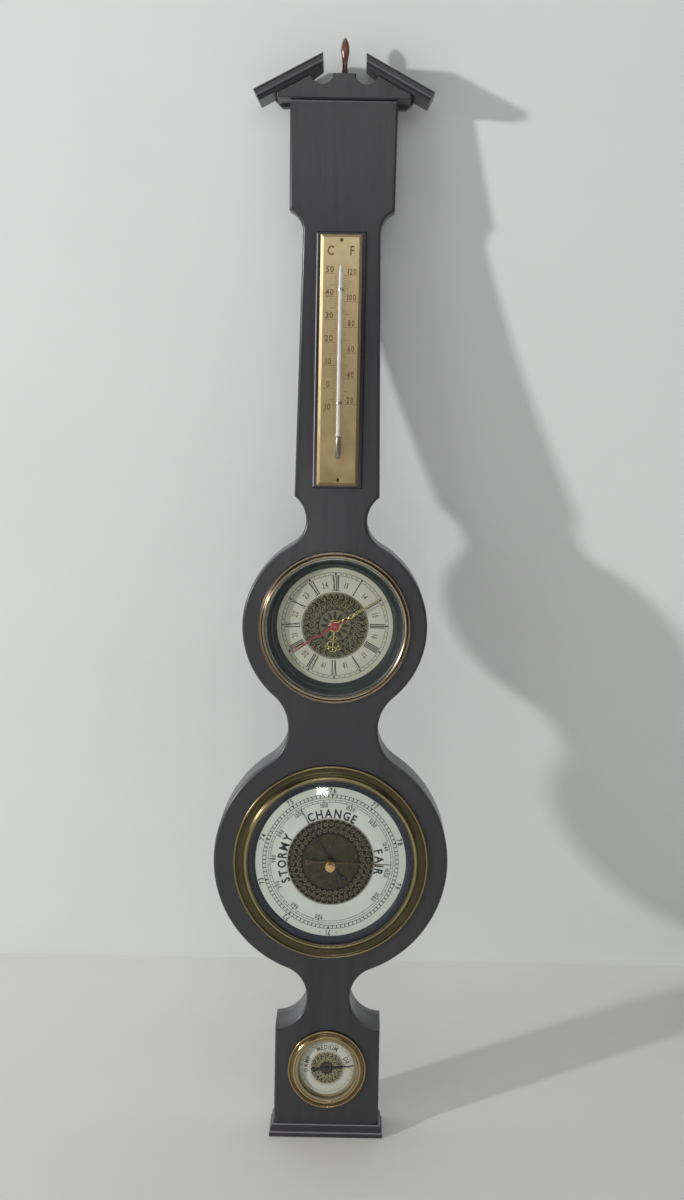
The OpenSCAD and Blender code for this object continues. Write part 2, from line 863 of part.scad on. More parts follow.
module stator() {
    color("#8c8f92") place() at(clock_y) {
        sheet(11.4, 12)
            difference() {
                polygon([[-11.5, 13.4], [25.5, 13.4], [25.5, 26.4], [21.5, 26.4],
                    [21.5, 16.6], [2, 16.6], [2, 26.4], [-11.5, 26.4]]);
                translate(rotor_at) circle(r = 3.5);
            }
        box(-1, 25, coil_y - 1.5, coil_y + 1.5, 12, 13.2);
    }
}

module drive_coil() {
    color("#a5562f") place() at(clock_y)
        difference() {
            translate([2.6, coil_y, coil_z]) rotate([0, 90, 0]) cylinder(r = 3.6, h = 18.2);
            box(0, 24, coil_y - 1.5, coil_y + 1.5, 12, 13.2);
        }
}

module rotor() {
    color("#6d6f74") place() at(clock_y) translate(rotor_at) {
        disc(arbor_r, bearing_back_z, bearing_front_z);
        disc(3, 10.2, 13);
        sheet(5.8, 7.8) teeth(rotor_n, rotor_m,
            mesh_phase(intermediate_phase, intermediate_n, rotor_dir, rotor_n));
    }
}

intermediate_phase = 10;

module intermediate_wheel() {
    color(brass) place() at(clock_y) translate(intermediate_at) {
        disc(arbor_r, bearing_back_z, bearing_front_z);
        sheet(6.4, 7.2) teeth(intermediate_n, rotor_m, intermediate_phase);
        sheet(7, 9.6) teeth(intermediate_pinion_n, second_m,
            mesh_phase(intermediate_dir, second_n, intermediate_dir,
                intermediate_pinion_n));
    }
}

module second_wheel() {
    color(brass) place() at(clock_y) {
        disc(second_r, bearing_back_z, second_z + 0.7);
        sheet(8.2, 9) teeth(second_n, second_m, intermediate_dir);
        sheet(8.9, 11.6) teeth(second_pinion_n, third_m, third_dir);
    }
}

module third_wheel() {
    color(brass) place() at(clock_y) translate(third_at) {
        disc(arbor_r, bearing_back_z, bearing_front_z);
        sheet(10.4, 11.2) teeth(third_n, third_m,
            mesh_phase(third_dir, second_pinion_n, third_dir, third_n));
        sheet(11.1, 13.4) teeth(third_pinion_n, centre_m,
            mesh_phase(third_dir, centre_n, third_dir, third_pinion_n));
    }
}

module centre_wheel() {
    color(brass) place() at(clock_y)
        sheet(12.2, 13)
            difference() {
                teeth(centre_n, centre_m, third_dir);
                circle(r = cannon_r + running);
            }
}

module cannon_pinion() {
    color(brass) place() at(clock_y)
        difference() {
            union() {
                disc(cannon_r, 11.9, minute_z + 0.8);
                sheet(13.9, 15.6) teeth(cannon_n, motion_m, motion_dir);
            }
            disc(second_r + running, 0, 60);
        }
}

module motion_wheel() {
    color(card) place() at(clock_y) translate(motion_at)
        difference() {
            union() {
                sheet(14.2, 15.2) teeth(motion_n, motion_m, motion_phase);
                sheet(15.1, 17.5) teeth(motion_pinion_n, hour_m,
                    mesh_phase(motion_dir, hour_n, motion_dir, motion_pinion_n));
            }
            disc(post_r + running, 0, 60);
        }
}

module hour_wheel() {
    color(card) place() at(clock_y)
        difference() {
            union() {
                disc(hour_r, 16, hour_z + 0.8);
                sheet(16.2, 17.2) teeth(hour_n, hour_m, motion_dir);
            }
            disc(cannon_r + running, 0, 60);
        }
}

module setting_knob() {
    color("#39393b") place() at(clock_y) translate(setting_at) {
        disc(setting_r, 2.8, bearing_front_z);
        sheet(13.9, 15.6) teeth(setting_n, motion_m,
            mesh_phase(motion_phase, motion_n, setting_dir, setting_n));
        sheet(0.8, 2.8)
            difference() {
                circle(r = 6);
                for (a = [0 : 30 : 330])
                    rotate(a) translate([6.3, 0]) circle(r = 0.7, $fn = 16);
            }
    }
}

// Barometer

can_back_z = 9.2;
can_t = 0.8;
can_r = barometer_hole_r - drop_in;
baro_dial_z = 29.6;
baro_hand_t = 0.4;
pointer_z = baro_dial_z + 1.5;
set_hand_z = pointer_z + baro_hand_t + 0.7;
pointer_reach = 54.4;
glass_z = board_z + can_t;
glass_t = 1.6;
baro_glass_r = barometer_lip_r + 2.1;
baro_flange_r = baro_glass_r + 1.4;
frame_z = 25.2;
shaft_x = 27;
shaft_z = 15;
pivot_x = -22;
pivot_z = 20;
lever_reach = 44;
drum_r = 1;
chain_arm = 9;
short_arm = 5;
pivot_r = 0.6;
set_shaft_r = 1.2;

module barometer_case() {
    color(steel) place() at(barometer_y)
        turned([[2 + running, can_back_z], [can_r, can_back_z], [can_r, board_z],
            [baro_flange_r, board_z], [baro_flange_r, glass_z], [can_r - can_t, glass_z],
            [can_r - can_t, can_back_z + 1], [2 + running, can_back_z + 1]]);
}

module barometer_bezel() {
    r = barometer_bezel_r;
    lip = barometer_lip_r;
    z = board_z;
    edge_z = glass_z + glass_t + 0.1;
    lip_z = edge_z + cap_z(lip, baro_glass_r, glass_dome);
    back_r = baro_flange_r + ring_gap;
    rim_r = baro_glass_r + ring_gap;
    color(brass) place() at(barometer_y)
        turned([[back_r, z], [r, z], [r, z + 1.5], [r - 0.9, z + 2.3], [r - 2.2, z + 2.2],
            [r - 4, z + 1.7], [r - 6.2, z + 1.7], [r - 8.4, z + 2.4], [r - 9.6, z + 3.3],
            [r - 10.6, z + 3.7], [r - 11.6, z + 3.5], [lip + 0.8, lip_z + 0.4],
            [lip, lip_z + 0.4], [lip, lip_z], [rim_r, edge_z], [rim_r, glass_z + 0.05],
            [back_r, glass_z + 0.05]]);
}

module barometer_glass() {
    color("#cfd8da") place() at(barometer_y)
        domed_glass(baro_glass_r, glass_dome, glass_z, glass_t, set_shaft_r + running);
}

module barometer_dial() {
    r = can_r - can_t - 0.2;
    color(card) place() at(barometer_y)
        turned([[2.2, baro_dial_z - 0.8], [r, baro_dial_z - 0.8], [r, glass_z - 0.1],
            [r - 0.8, glass_z - 0.1], [barometer_dial_r, baro_dial_z],
            [2.2, baro_dial_z]]);
}

module barometer_pointer() {
    color("#1f1f22") place() at(barometer_y) turn_to(pressure_angle)
        sheet(pointer_z, pointer_z + baro_hand_t) {
            hub(3.2, pivot_r + 0.01);
            polygon(winding(3, pointer_reach, 0, 1, 1.8, 0.5, 4));
            translate([0, -2.8]) rotate(180) polygon(winding(0, 14, 0, 1, 1.8, 2.2, 4));
            difference() {
                translate([0, -20]) circle(r = 5.4);
                translate([0, -23.4]) circle(r = 4.9);
            }
        }
}

module set_hand() {
    color("#b49a52") place() at(barometer_y) turn_to(set_angle)
        sheet(set_hand_z, set_hand_z + baro_hand_t) {
            hub(3, set_shaft_r + 0.01);
            polygon(winding(2.6, 54, 0, 1, 1.2, 0.7, 4));
            translate([0, -2.6]) rotate(180) polygon(winding(0, 15, 0, 1, 1.2, 1.6, 4));
            ring(0, -19.4, 2.4, 1.3);
        }
}

module set_knob() {
    z = glass_z + glass_t + glass_dome + 0.25;
    color(brass) place() at(barometer_y)
        turned([[0, 31.8], [set_shaft_r, 31.8], [set_shaft_r, z], [3, z], [3.6, z + 0.4],
            [2.4, z + 1.2], [2.8, z + 2], [4.4, z + 2.5], [4.6, z + 3.2], [4.1, z + 3.9],
            [2.4, z + 4.3], [0, z + 4.4]]);
}

module capsule() {
    wave = [for (i = [0 : 8]) [3.4 + i * 1.9, 0.35 * (i % 2)]];
    color("#a9a9a4") place() at(barometer_y)
        turned(concat([[2 + running, can_back_z + 1], [3.4, can_back_z + 1]],
            [for (p = wave) [p[0], 12.3 + p[1]]],
            [[20, 13.2], [20, 14.8]],
            [for (i = [8 : -1 : 1]) [wave[i][0], 15.7 - wave[i][1]]],
            [[3, 15.8], [3, 16.8], [1.5, 16.8], [1.5, 18.5], [0, 18.5], [0, 11.9],
                [2 + running, 11.9]]));
}

module main_spring() {
    color("#77797d") place() at(barometer_y)
        difference() {
            union() {
                box(-31, -21, -8, 8, can_back_z + 1, can_back_z + 2);
                box(-31, -29.8, -8, 8, can_back_z + 1, 18.4);
                box(-31, 2.5, -8, 8, 17.4, 18.4);
                for (side = [-1, 1])
                    box(pivot_x - 1.6, pivot_x + 1.6, side * 4.5 - 0.5, side * 4.5 + 0.5,
                        18.3, 21.4);
            }
            disc(1.55, 16, 20);
            translate([pivot_x, 0, pivot_z])
                rise(-9, 18) circle(r = setting_r + running);
        }
}

module main_lever() {
    color(brass) place() at(barometer_y) {
        box(pivot_x, pivot_x + lever_reach + 1, -1.5, 1.5, 19.6, 20.4);
        translate([pivot_x, 0, pivot_z]) {
            rise(-5.6, 11.2) circle(r = setting_r);
            rise(-1.5, 3) circle(r = 1.6);
        }
        translate([pivot_x + lever_reach, 0, 0]) disc(0.5, 15.9, 19.8);
    }
}

module rocking_shaft() {
    color(steel) place() at(barometer_y)
        translate([shaft_x, 0, shaft_z]) {
            rise(-13, 26) circle(r = setting_r);
            rise(-1.5, 3) circle(r = 1.6);
            box(-short_arm - 0.6, 0, -0.6, 0.6, -0.4, 0.4);
            box(-0.5, 0.5, -1.5, -0.9, 0, chain_arm + 0.4);
        }
}

module pointer_arbor() {
    color(steel) place() at(barometer_y) {
        disc(pivot_r, 21.7, 31.8);
        disc(drum_r, 23.4, 24.6);
    }
}

// A flat spiral strip from r0 to r1, as one outline
module spiral(r0, r1, turns, t, steps = 24) {
    n = turns * steps;
    function at_step(i, side) = let (r = r0 + (r1 - r0) * i / n + side * t / 2)
        [r * cos(360 * i / steps), r * sin(360 * i / steps)];
    polygon(concat([for (i = [0 : n]) at_step(i, -1)],
        [for (i = [n : -1 : 0]) at_step(i, 1)]));
}

module hairspring() {
    color("#8a8f99") place() at(barometer_y) {
        sheet(22.7, 23.1) spiral(1.2, 7, 5, 0.25);
        translate([7.3, 0, 0]) disc(0.5, 22.7, frame_z);
    }
}

module mechanism_frame() {
    color(brass) place() at(barometer_y)
        difference() {
            union() {
                box(-21, 30, -16, 16, frame_z, frame_z + 1);
                for (side = [-1, 1]) {
                    box(-20, -17, side * 14.5 - 1.5, side * 14.5 + 1.5, can_back_z + 1,
                        frame_z);
                    box(25.4, 28.6, side * 12.8 - 0.6, side * 12.8 + 0.6, can_back_z + 1,
                        frame_z);
                    box(-2.5, 2.5, side * 10.2 - 0.8, side * 10.2 + 0.8, 21.6, frame_z);
                }
                box(-2.5, 2.5, -11, 11, 21.6, 22.2);
            }
            disc(pivot_r + running, 20, 30);
            translate([shaft_x, 0, shaft_z])
                rise(-15, 30) circle(r = setting_r + running);
        }
}

module adjusting_screw() {
    color(brass) place() at(barometer_y)
        difference() {
            turned([[0, 8.1], [3.6, 8.1], [4, 8.4], [4, can_back_z - 0.05],
                [2, can_back_z - 0.05], [2, 11.5], [0, 11.7]]);
            box(-0.5, 0.5, -5, 5, 7, 8.6);
        }
}

// Hygrometer

hygro_can_r = hygrometer_hole_r - drop_in;
hygro_back_z = 13;
hygro_dial_z = 28.4;
hygro_can_t = 0.6;
hygro_glass_r = hygrometer_lip_r + 3.2;
hygro_glass_z = board_z + 0.5;
hygro_glass_t = 1.2;
hygro_dome = 1.8;
hygro_flange_r = hygro_glass_r + 2;

module hygrometer_case() {
    r = hygro_can_r;
    color(steel) place() at(hygrometer_y)
        difference() {
            turned([[0, hygro_back_z], [r, hygro_back_z], [r, board_z],
                [hygro_flange_r, board_z], [hygro_flange_r, hygro_glass_z],
                [r - hygro_can_t, hygro_glass_z], [r - hygro_can_t, hygro_back_z + 1.2],
                [0, hygro_back_z + 1.2]]);
            disc(pivot_r + running, hygro_back_z + 0.5, 20);
        }
}

module hygrometer_bezel() {
    r = hygrometer_bezel_r;
    lip = hygrometer_lip_r;
    z = board_z;
    edge_z = hygro_glass_z + hygro_glass_t + 0.06;
    lip_z = edge_z + cap_z(lip, hygro_glass_r, hygro_dome);
    back_r = hygro_flange_r + ring_gap;
    rim_r = hygro_glass_r + ring_gap;
    color(brass) place() at(hygrometer_y)
        turned([[back_r, z], [r, z], [r, z + 1.3], [r - 0.8, z + 2], [r - 2, z + 1.8],
            [r - 3.4, z + 2], [r - 4.6, z + 2.9], [r - 5.6, z + 3.2], [r - 7, z + 3],
            [lip, lip_z + 0.5], [lip, lip_z], [rim_r, edge_z], [rim_r, hygro_glass_z + 0.05],
            [back_r, hygro_glass_z + 0.05]]);
}

module hygrometer_glass() {
    color("#cfd8da") place() at(hygrometer_y)
        domed_glass(hygro_glass_r, hygro_dome, hygro_glass_z, hygro_glass_t, 0);
}

module hygrometer_dial() {
    color(card) place() at(hygrometer_y)
        tube(hygro_can_r - hygro_can_t - 0.2, pivot_r + 0.2, hygro_dial_z - 0.8, hygro_dial_z);
}

module hygrometer_hand() {
    color("#1f1f22") place() at(hygrometer_y) {
        disc(pivot_r, hygro_back_z + 0.7, 29.9);
        disc(1.5, 17, 17.8);
        turn_to(humidity_angle)
            sheet(29.3, 29.7) {
                circle(r = 2.3, $fn = 48);
                polygon(winding(1.5, 14.2, 0, 1, 2.2, 2.8, 4));
                polygon(winding(14, 23.6, 0, 1, 1, 0.4, 4));
                rotate(180) polygon(winding(1.5, 13.4, 0, 1, 2, 3.4, 4));
            }
    }
}

module humidity_coil() {
    color("#b08a4a") place() at(hygrometer_y) {
        sheet(18.2, 22.5) spiral(1.6, 14, 6, 0.4);
        translate([14.5, 0, 0]) disc(0.9, hygro_back_z + 1.2, 22.5);
    }
}

back_board();
front_board();
tympanum();
cornice_left();
cornice_right();
finial();
base_moulding();
hanger_plate();
hanger_screws();
thermometer_backing();
thermometer_plate();
thermometer_tube();
thermometer_column();
tube_clips();
plate_pins();
clock_cup();
clock_bezel();
clock_glass();
clock_well();
clock_dial();
centre_nut();
hour_hand();
minute_hand();
second_hand();
movement_case();
movement_cover();
battery();
circuit_board();
stator();
drive_coil();
rotor();
intermediate_wheel();
second_wheel();
third_wheel();
centre_wheel();
cannon_pinion();
motion_wheel();
hour_wheel();
setting_knob();
barometer_case();
barometer_bezel();
barometer_glass();
barometer_dial();
barometer_pointer();
set_hand();
set_knob();
capsule();
main_spring();
main_lever();
rocking_shaft();
pointer_arbor();
hairspring();
mechanism_frame();
adjusting_screw();
hygrometer_case();
hygrometer_bezel();
hygrometer_glass();
hygrometer_dial();
hygrometer_hand();
humidity_coil();
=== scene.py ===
# %% [markdown]
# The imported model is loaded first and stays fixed: every piece below is placed by the
# boxes of its nodes. Drawing is done in face coordinates, in millimetres: x to the
# viewer's right, y up from the foot of the case, z out from the wall.
# %% Frame and face coordinates
import math
import bmesh
import bpy
import numpy as np
from mathutils import Matrix, Vector
from mathutils.geometry import tessellate_polygon


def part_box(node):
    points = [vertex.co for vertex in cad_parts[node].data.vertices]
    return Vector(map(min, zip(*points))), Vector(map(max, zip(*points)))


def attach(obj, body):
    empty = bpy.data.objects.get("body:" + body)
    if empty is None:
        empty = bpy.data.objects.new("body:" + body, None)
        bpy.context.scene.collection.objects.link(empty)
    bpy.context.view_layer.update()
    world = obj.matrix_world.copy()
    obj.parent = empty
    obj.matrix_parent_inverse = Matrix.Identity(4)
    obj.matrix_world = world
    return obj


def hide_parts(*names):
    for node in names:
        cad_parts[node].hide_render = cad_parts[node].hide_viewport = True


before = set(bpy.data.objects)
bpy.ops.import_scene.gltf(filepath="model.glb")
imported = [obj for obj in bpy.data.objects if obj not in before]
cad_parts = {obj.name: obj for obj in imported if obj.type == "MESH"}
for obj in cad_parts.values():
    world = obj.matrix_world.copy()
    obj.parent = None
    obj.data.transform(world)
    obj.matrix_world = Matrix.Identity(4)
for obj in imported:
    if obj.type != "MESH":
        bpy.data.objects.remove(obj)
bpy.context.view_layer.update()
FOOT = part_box("front_board")[0].z


def to_frame(points):
    """Face millimetres to frame metres: (x, y, z) becomes (x, -z, y above the foot)."""
    x, y, z = np.asarray(points, float).T / 1000
    return np.stack([x, -z, y + FOOT], axis=1)


def face_box(node):
    """Lowest and highest corner of a node in face coordinates."""
    lo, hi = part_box(node)
    low = np.array([lo.x, lo.z - FOOT, -hi.y]) * 1000
    high = np.array([hi.x, hi.z - FOOT, -lo.y]) * 1000
    return low, high


def centre_y(node):
    """Height of a node's middle."""
    low, high = face_box(node)
    return (low[1] + high[1]) / 2


def outer_r(node):
    """Half of a node's width, the radius of a round one."""
    low, high = face_box(node)
    return (high[0] - low[0]) / 2


BOARD_Z = face_box("front_board")[1][2]
CLOCK_Y = centre_y("clock_bezel")
BARO_Y = centre_y("barometer_bezel")
HYGRO_Y = centre_y("hygrometer_bezel")
print("board face", round(BOARD_Z, 2), "centres", CLOCK_Y, BARO_Y, HYGRO_Y)

# %% [markdown]
# Every shape is a numpy array of points with a list of faces. A turned piece is a
# profile carried round a circle, a strip is a cross-section carried along a path, and
# flat print is a thin prism, so all of them are closed solids with simple formulas.
# %% Shapes made from arrays


def join(parts):
    """Several (points, faces) shapes as one."""
    points, faces, start = [], [], 0
    for p, f in parts:
        points.append(p)
        faces.extend([[i + start for i in face] for face in f])
        start += len(p)
    return np.concatenate(points), faces


def grid_faces(rows, columns, wrap_rows, wrap_columns):
    """Quads between neighbours of a rows by columns grid of points."""
    r = np.arange(rows if wrap_rows else rows - 1)
    c = np.arange(columns if wrap_columns else columns - 1)
    i, j = np.meshgrid(r, c, indexing="ij")
    i2, j2 = (i + 1) % rows, (j + 1) % columns
    corners = [i * columns + j, i2 * columns + j, i2 * columns + j2, i * columns + j2]
    return np.stack(corners, axis=-1).reshape(-1, 4).tolist()


def lathe(profile, y, segments=192):
    """A closed profile of (radius, z) turned about an axis that points at the viewer."""
    a = np.linspace(0, 2 * np.pi, segments, endpoint=False)[:, None]
    r, z = np.asarray(profile, float).T[:, None]
    points = np.stack([r * np.sin(a), y + r * np.cos(a), z + 0 * a], axis=-1)
    return points.reshape(-1, 3), grid_faces(segments, len(profile), True, True)


def dome(profile, y, segments=96):
    """An open profile that starts and ends on the axis, turned, with closed poles."""
    points = lathe(profile[1:-1], y, segments)[0]
    inner, first, last = len(profile) - 2, len(points), len(points) + 1
    poles = [(0, y, profile[0][1]), (0, y, profile[-1][1])]
    faces = grid_faces(segments, inner, True, False)
    for i in range(segments):
        here, after = i * inner, (i + 1) % segments * inner
        faces += [[first, after, here], [last, here + inner - 1, after + inner - 1]]
    return np.concatenate([points, poles]), faces


def upright(profile, z, segments=96):
    """A profile of (radius, height) turned about a plumb axis, with closed poles."""
    points, faces = dome(profile, 0, segments)
    return np.stack([points[:, 0], points[:, 2], z - points[:, 1]], axis=1), faces


def smooth_curve(points, per_span=5):
    """Catmull-Rom curve through the points: a cubic between each two neighbours."""
    p = np.asarray(points, float)
    p = np.concatenate([2 * p[:1] - p[1:2], p, 2 * p[-1:] - p[-2:-1]])
    t = np.linspace(0, 1, per_span, endpoint=False)[None, :, None]
    a, b, c, d = (p[i:len(p) - 3 + i][:, None] for i in range(4))
    curve = 0.5 * (2 * b + (c - a) * t + (2 * a - 5 * b + 4 * c - d) * t ** 2
                   + (3 * b - a - 3 * c + d) * t ** 3)
    return np.concatenate([curve.reshape(-1, 2), p[-2:-1]])


def at_height(flat, z):
    """Flat points at one height, or each at its own."""
    heights = np.broadcast_to(np.asarray(z, float), flat.shape[:-1])
    return np.concatenate([flat, heights[..., None]], axis=-1)


def strips(sections):
    """Cross-sections (strips, stations, corners, 3) joined along each strip and capped."""
    count, stations, corners = np.shape(sections)[:3]
    size = stations * corners
    one = grid_faces(stations, corners, False, True)
    one += [list(range(corners)), list(range(size - corners, size))[::-1]]
    faces = [[i + size * j for i in f] for j in range(count) for f in one]
    return np.reshape(sections, (-1, 3)), faces


def prisms(polygons, z0, z1):
    """Equal-sided flat polygons (count, corners, 2) given a thickness."""
    polygons = np.asarray(polygons, float)
    return strips(np.stack([at_height(polygons, z) for z in (z0, z1)], axis=1))


def ribbons(paths, widths, section):
    """Paths (count, steps, 2) given a width and a cross-section.

    The section is a loop of (share of the width from -0.5 to 0.5, z)."""
    along = np.gradient(paths, axis=1)
    along /= np.linalg.norm(along, axis=2, keepdims=True)
    side = np.stack([along[..., 1], -along[..., 0]], axis=-1)
    share, z = np.array(section).T
    reach = np.broadcast_to(widths, paths.shape[1])[:, None] * share
    return strips(at_height(paths[:, :, None] + side[:, :, None] * reach[..., None], z))


def round_section(z0, z1):
    """A cross-section with a domed top."""
    a = np.linspace(0, np.pi, 7)
    top = [(0.5 * math.cos(t), z0 + (z1 - z0) * (0.4 + 0.6 * math.sin(t))) for t in a]
    return [(-0.5, z0), (0.5, z0)] + top


def around(points, angle, y, r=0):
    """Turns flat points clockwise about a dial's centre after lifting them by r."""
    p = np.asarray(points, float) + [0, r]
    c, s = np.cos(np.radians(angle)), np.sin(np.radians(angle))
    return np.stack([p[..., 0] * c + p[..., 1] * s, y - p[..., 0] * s + p[..., 1] * c], axis=-1)


def circle(cx, cy, r, count=120):
    """Flat points of a circle: its centre plus r cos(a) and r sin(a)."""
    a = np.linspace(0, 2 * np.pi, count, endpoint=False)
    return np.stack([cx + r * np.cos(a), cy + r * np.sin(a)], axis=1)


def in_scene(name, data):
    """A new object of the scene for a mesh, a lamp or a camera."""
    thing = bpy.data.objects.new(name, data)
    bpy.context.scene.collection.objects.link(thing)
    return thing


# Every finish by its name
finishes = {}


def make(name, shape, slot, finish, node=None, sharp=32, body="case"):
    """A shown piece with its finish, on a body, in place of a node where one is named."""
    points, faces = shape
    mesh = bpy.data.meshes.new(name)
    mesh.from_pydata(to_frame(points).tolist(), [], faces)
    soup = bmesh.new()
    soup.from_mesh(mesh)
    bmesh.ops.recalc_face_normals(soup, faces=soup.faces)
    soup.to_mesh(mesh)
    soup.free()
    mesh.polygons.foreach_set("use_smooth", [True] * len(mesh.polygons))
    mesh.set_sharp_from_angle(angle=math.radians(sharp))
    mesh.materials.append(finishes[finish])
    piece = in_scene(name, mesh)
    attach(piece, body)
    if node:
        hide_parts(node)


print("shapes ready")

# %% [markdown]
# Materials are node trees on object coordinates, so grain and wear keep their real
# size. Each kind of surface has one recipe: lacquered wood with a grain that follows
# the board, metal with tarnish, printed card, plastic, glass and print.
# %% Material recipes


def rgb(colour):
    """Display values from 0 to 255 as a linear colour."""
    v = np.array(colour) / 255
    linear = np.where(v <= 0.04045, v / 12.92, ((v + 0.055) / 1.055) ** 2.4)
    return (*linear.tolist(), 1)


def dim(colour, share):
    """A colour at a share of its brightness."""
    return tuple(share * c for c in colour)


class Tree:
    """A new material's node tree, with short calls to add nodes and links."""

    def __init__(self, name):
        self.material = finishes[name] = bpy.data.materials.new(name)
        self.material.use_nodes = True
        self.nodes = self.material.node_tree.nodes
        self.nodes.clear()
        coordinates = self.add("TexCoord").outputs
        self.place, self.facing = coordinates["Object"], coordinates["Normal"]

    def add(self, kind, inputs=None, **settings):
        """A node of a kind, its inputs set to values or linked to other nodes."""
        node = self.nodes.new("ShaderNode" + kind)
        for key, value in settings.items():
            setattr(node, key, value)
        for key, value in (inputs or {}).items():
            if isinstance(value, bpy.types.NodeSocket):
                self.material.node_tree.links.new(value, node.inputs[key])
            else:
                node.inputs[key].default_value = value
        return node

    def part(self, vector, axis):
        return self.add("SeparateXYZ", {0: vector}).outputs[axis]

    def scaled(self, scale, turn=(0, 0, 0), location=(0, 0, 0)):
        mapping = {"Vector": self.place, "Scale": scale, "Rotation": turn, "Location": location}
        return self.add("Mapping", mapping, vector_type="POINT").outputs[0]

    def radius(self, y):
        """Distance in metres from the axis of a dial whose centre is at height y in mm."""
        across = self.scaled((1, 0, 1), location=(0, 0, -(y / 1000 + FOOT)))
        return self.add("VectorMath", {0: across}, operation="LENGTH").outputs["Value"]

    def noise(self, vector, scale, detail=4, roughness=0.55, distortion=0):
        return self.add("TexNoise", {"Vector": vector, "Scale": scale, "Detail": detail,
                                     "Roughness": roughness,
                                     "Distortion": distortion}).outputs["Fac"]

    def spread(self, value, low, high, to_low=0.0, to_high=1.0):
        """A value's place between low and high, spread from to_low to to_high."""
        return self.add("MapRange", {"Value": value, "From Min": low, "From Max": high,
                                     "To Min": to_low, "To Max": to_high}).outputs[0]

    def math(self, operation, a, b=0.0):
        return self.add("Math", {0: a, 1: b}, operation=operation).outputs[0]

    def mix(self, factor, a, b):
        """From one colour to the other; a tuple holds display values."""
        a, b = (rgb(c) if isinstance(c, tuple) else c for c in (a, b))
        return self.add("Mix", {0: factor, 6: a, 7: b}, data_type="RGBA").outputs[2]

    def bump(self, height, distance, strength=1.0):
        return self.add("Bump", {"Height": height, "Distance": distance,
                                 "Strength": strength}).outputs[0]

    def shade(self, **inputs):
        """Ends the material with one plain shader and its named inputs."""
        named = {key.replace("_", " "): value for key, value in inputs.items()}
        return self.finish(self.add("BsdfPrincipled", named).outputs[0])

    def blend(self, factor, a, b):
        """Ends the material with a mix of two shaders."""
        return self.finish(self.add("MixShader", {0: factor, 1: a, 2: b}).outputs[0])

    def finish(self, shader):
        self.add("OutputMaterial", {"Surface": shader})
        return self.material


def wood(name, dark, light, roughness=0.34, turn=0.0, coat=0.25, mark_heights=(),
         band_mark=(122, 118, 125), dust_and_top_light=0.16):
    """Lacquered wood: long streaks, fine pores and a satin coat over them.

    turn leans the grain from plumb. Between pairs of heights in mm the lacquer takes a band
    colour: painted highlights where the edges of the case and the base catch the light, and a
    darker foot on the finial. A share of pale colour goes on what faces up: dust, and painted
    light on the upward faces."""
    t = Tree(name)
    long, fine, wide = (t.scaled((1, 1, s), (0, turn, 0)) for s in (0.045, 0.03, 0.25))
    streaks = t.noise(long, 95, 5, 0.6, 0.6)
    pores = t.noise(fine, 900, 3, 0.7)
    broad = t.noise(wide, 14, 2)
    tone = t.math("ADD", t.spread(streaks, 0.3, 0.72, 0, 0.6),
                  t.spread(broad, 0.35, 0.65, 0, 0.4))
    colour = t.mix(t.spread(pores, 0.56, 0.7, 0, 0.4), t.mix(tone, dark, light),
                   dim(dark, 0.65))
    height = t.part(t.place, 2)
    # Bands between pairs of heights take the band colour: painted highlights on the case and the
    # base, a darker foot on the finial
    for low, high in mark_heights:
        off = t.math("SUBTRACT", height, FOOT + (low + high) / 2000)
        near = t.math("LESS_THAN", t.math("ABSOLUTE", off), (high - low) / 2000)
        share = t.math("MULTIPLY", near, t.spread(streaks, 0.3, 0.7, 0.7, 1))
        colour = t.mix(share, colour, band_mark)
    # Pale colour on what faces up: dust, and painted light on the upward faces
    colour = t.mix(t.spread(t.part(t.facing, 2), 0.1, 0.6, 0, dust_and_top_light), colour, (170, 171, 178))
    rough = t.math("ADD", roughness, t.spread(pores, 0.4, 0.7, -0.04, 0.1))
    normal = t.bump(t.math("ADD", streaks, pores), 0.00009, 0.5)
    return t.shade(Base_Color=colour, Roughness=rough, Normal=normal,
                   Coat_Weight=coat, Coat_Roughness=0.22, Specular_IOR_Level=0.45)


def metal(name, bright, tarnish, roughness=0.25, scale=60, amount=0.5):
    """Metal with cloudy tarnish and small specks."""
    t = Tree(name)
    cloud = t.noise(t.place, scale, 5, 0.6, 0.4)
    specks = t.noise(t.place, scale * 14, 2)
    colour = t.mix(t.spread(cloud, 0.35, 0.75, 0, amount), bright, tarnish)
    colour = t.mix(t.spread(specks, 0.62, 0.75, 0, 0.35 * amount), colour, dim(tarnish, 0.6))
    rough = t.spread(cloud, 0.3, 0.75, roughness * 0.8, roughness * 1.5)
    return t.shade(Base_Color=colour, Metallic=1.0, Roughness=rough,
                   Normal=t.bump(specks, 0.00001, 0.6))


def turned_metal(name, node, bands, roughness, amount):
    """Metal turned about a bezel's axis, in bands of (depth inward from its rim, colour).

    The band colours are painted light: a painted highlight on each crest and painted shade,
    with tarnish, in each hollow. Fine turning lines are a sine of the radius."""
    t = Tree(name)
    r = t.radius(centre_y(node))
    rim = outer_r(node)
    bands = sorted((rim - depth, colour) for depth, colour in bands)
    first, last = bands[0][0], bands[-1][0]
    ramp = t.add("ValToRGB", {"Fac": t.spread(r, first / 1000, last / 1000)})
    stops = ramp.color_ramp.elements
    for radius, _ in bands[1:-1]:
        stops.new((radius - first) / (last - first))
    for stop, (_, colour) in zip(stops, bands):
        stop.color = rgb(colour)
    lines = t.math("SINE", t.math("MULTIPLY", r, 8800.0))
    cloud = t.noise(t.place, 40, 5, 0.6, 0.5)
    dull = t.mix(0.6, ramp.outputs[0], (34, 30, 26))
    colour = t.mix(t.spread(cloud, 0.35, 0.7, 0, amount), ramp.outputs[0], dull)
    rough = t.math("ADD", t.spread(cloud, 0.3, 0.75, roughness * 0.8, roughness * 1.4),
                   t.math("MULTIPLY", lines, 0.02))
    return t.shade(Base_Color=colour, Metallic=1.0, Roughness=rough,
                   Normal=t.bump(lines, 0.000006, 0.5))


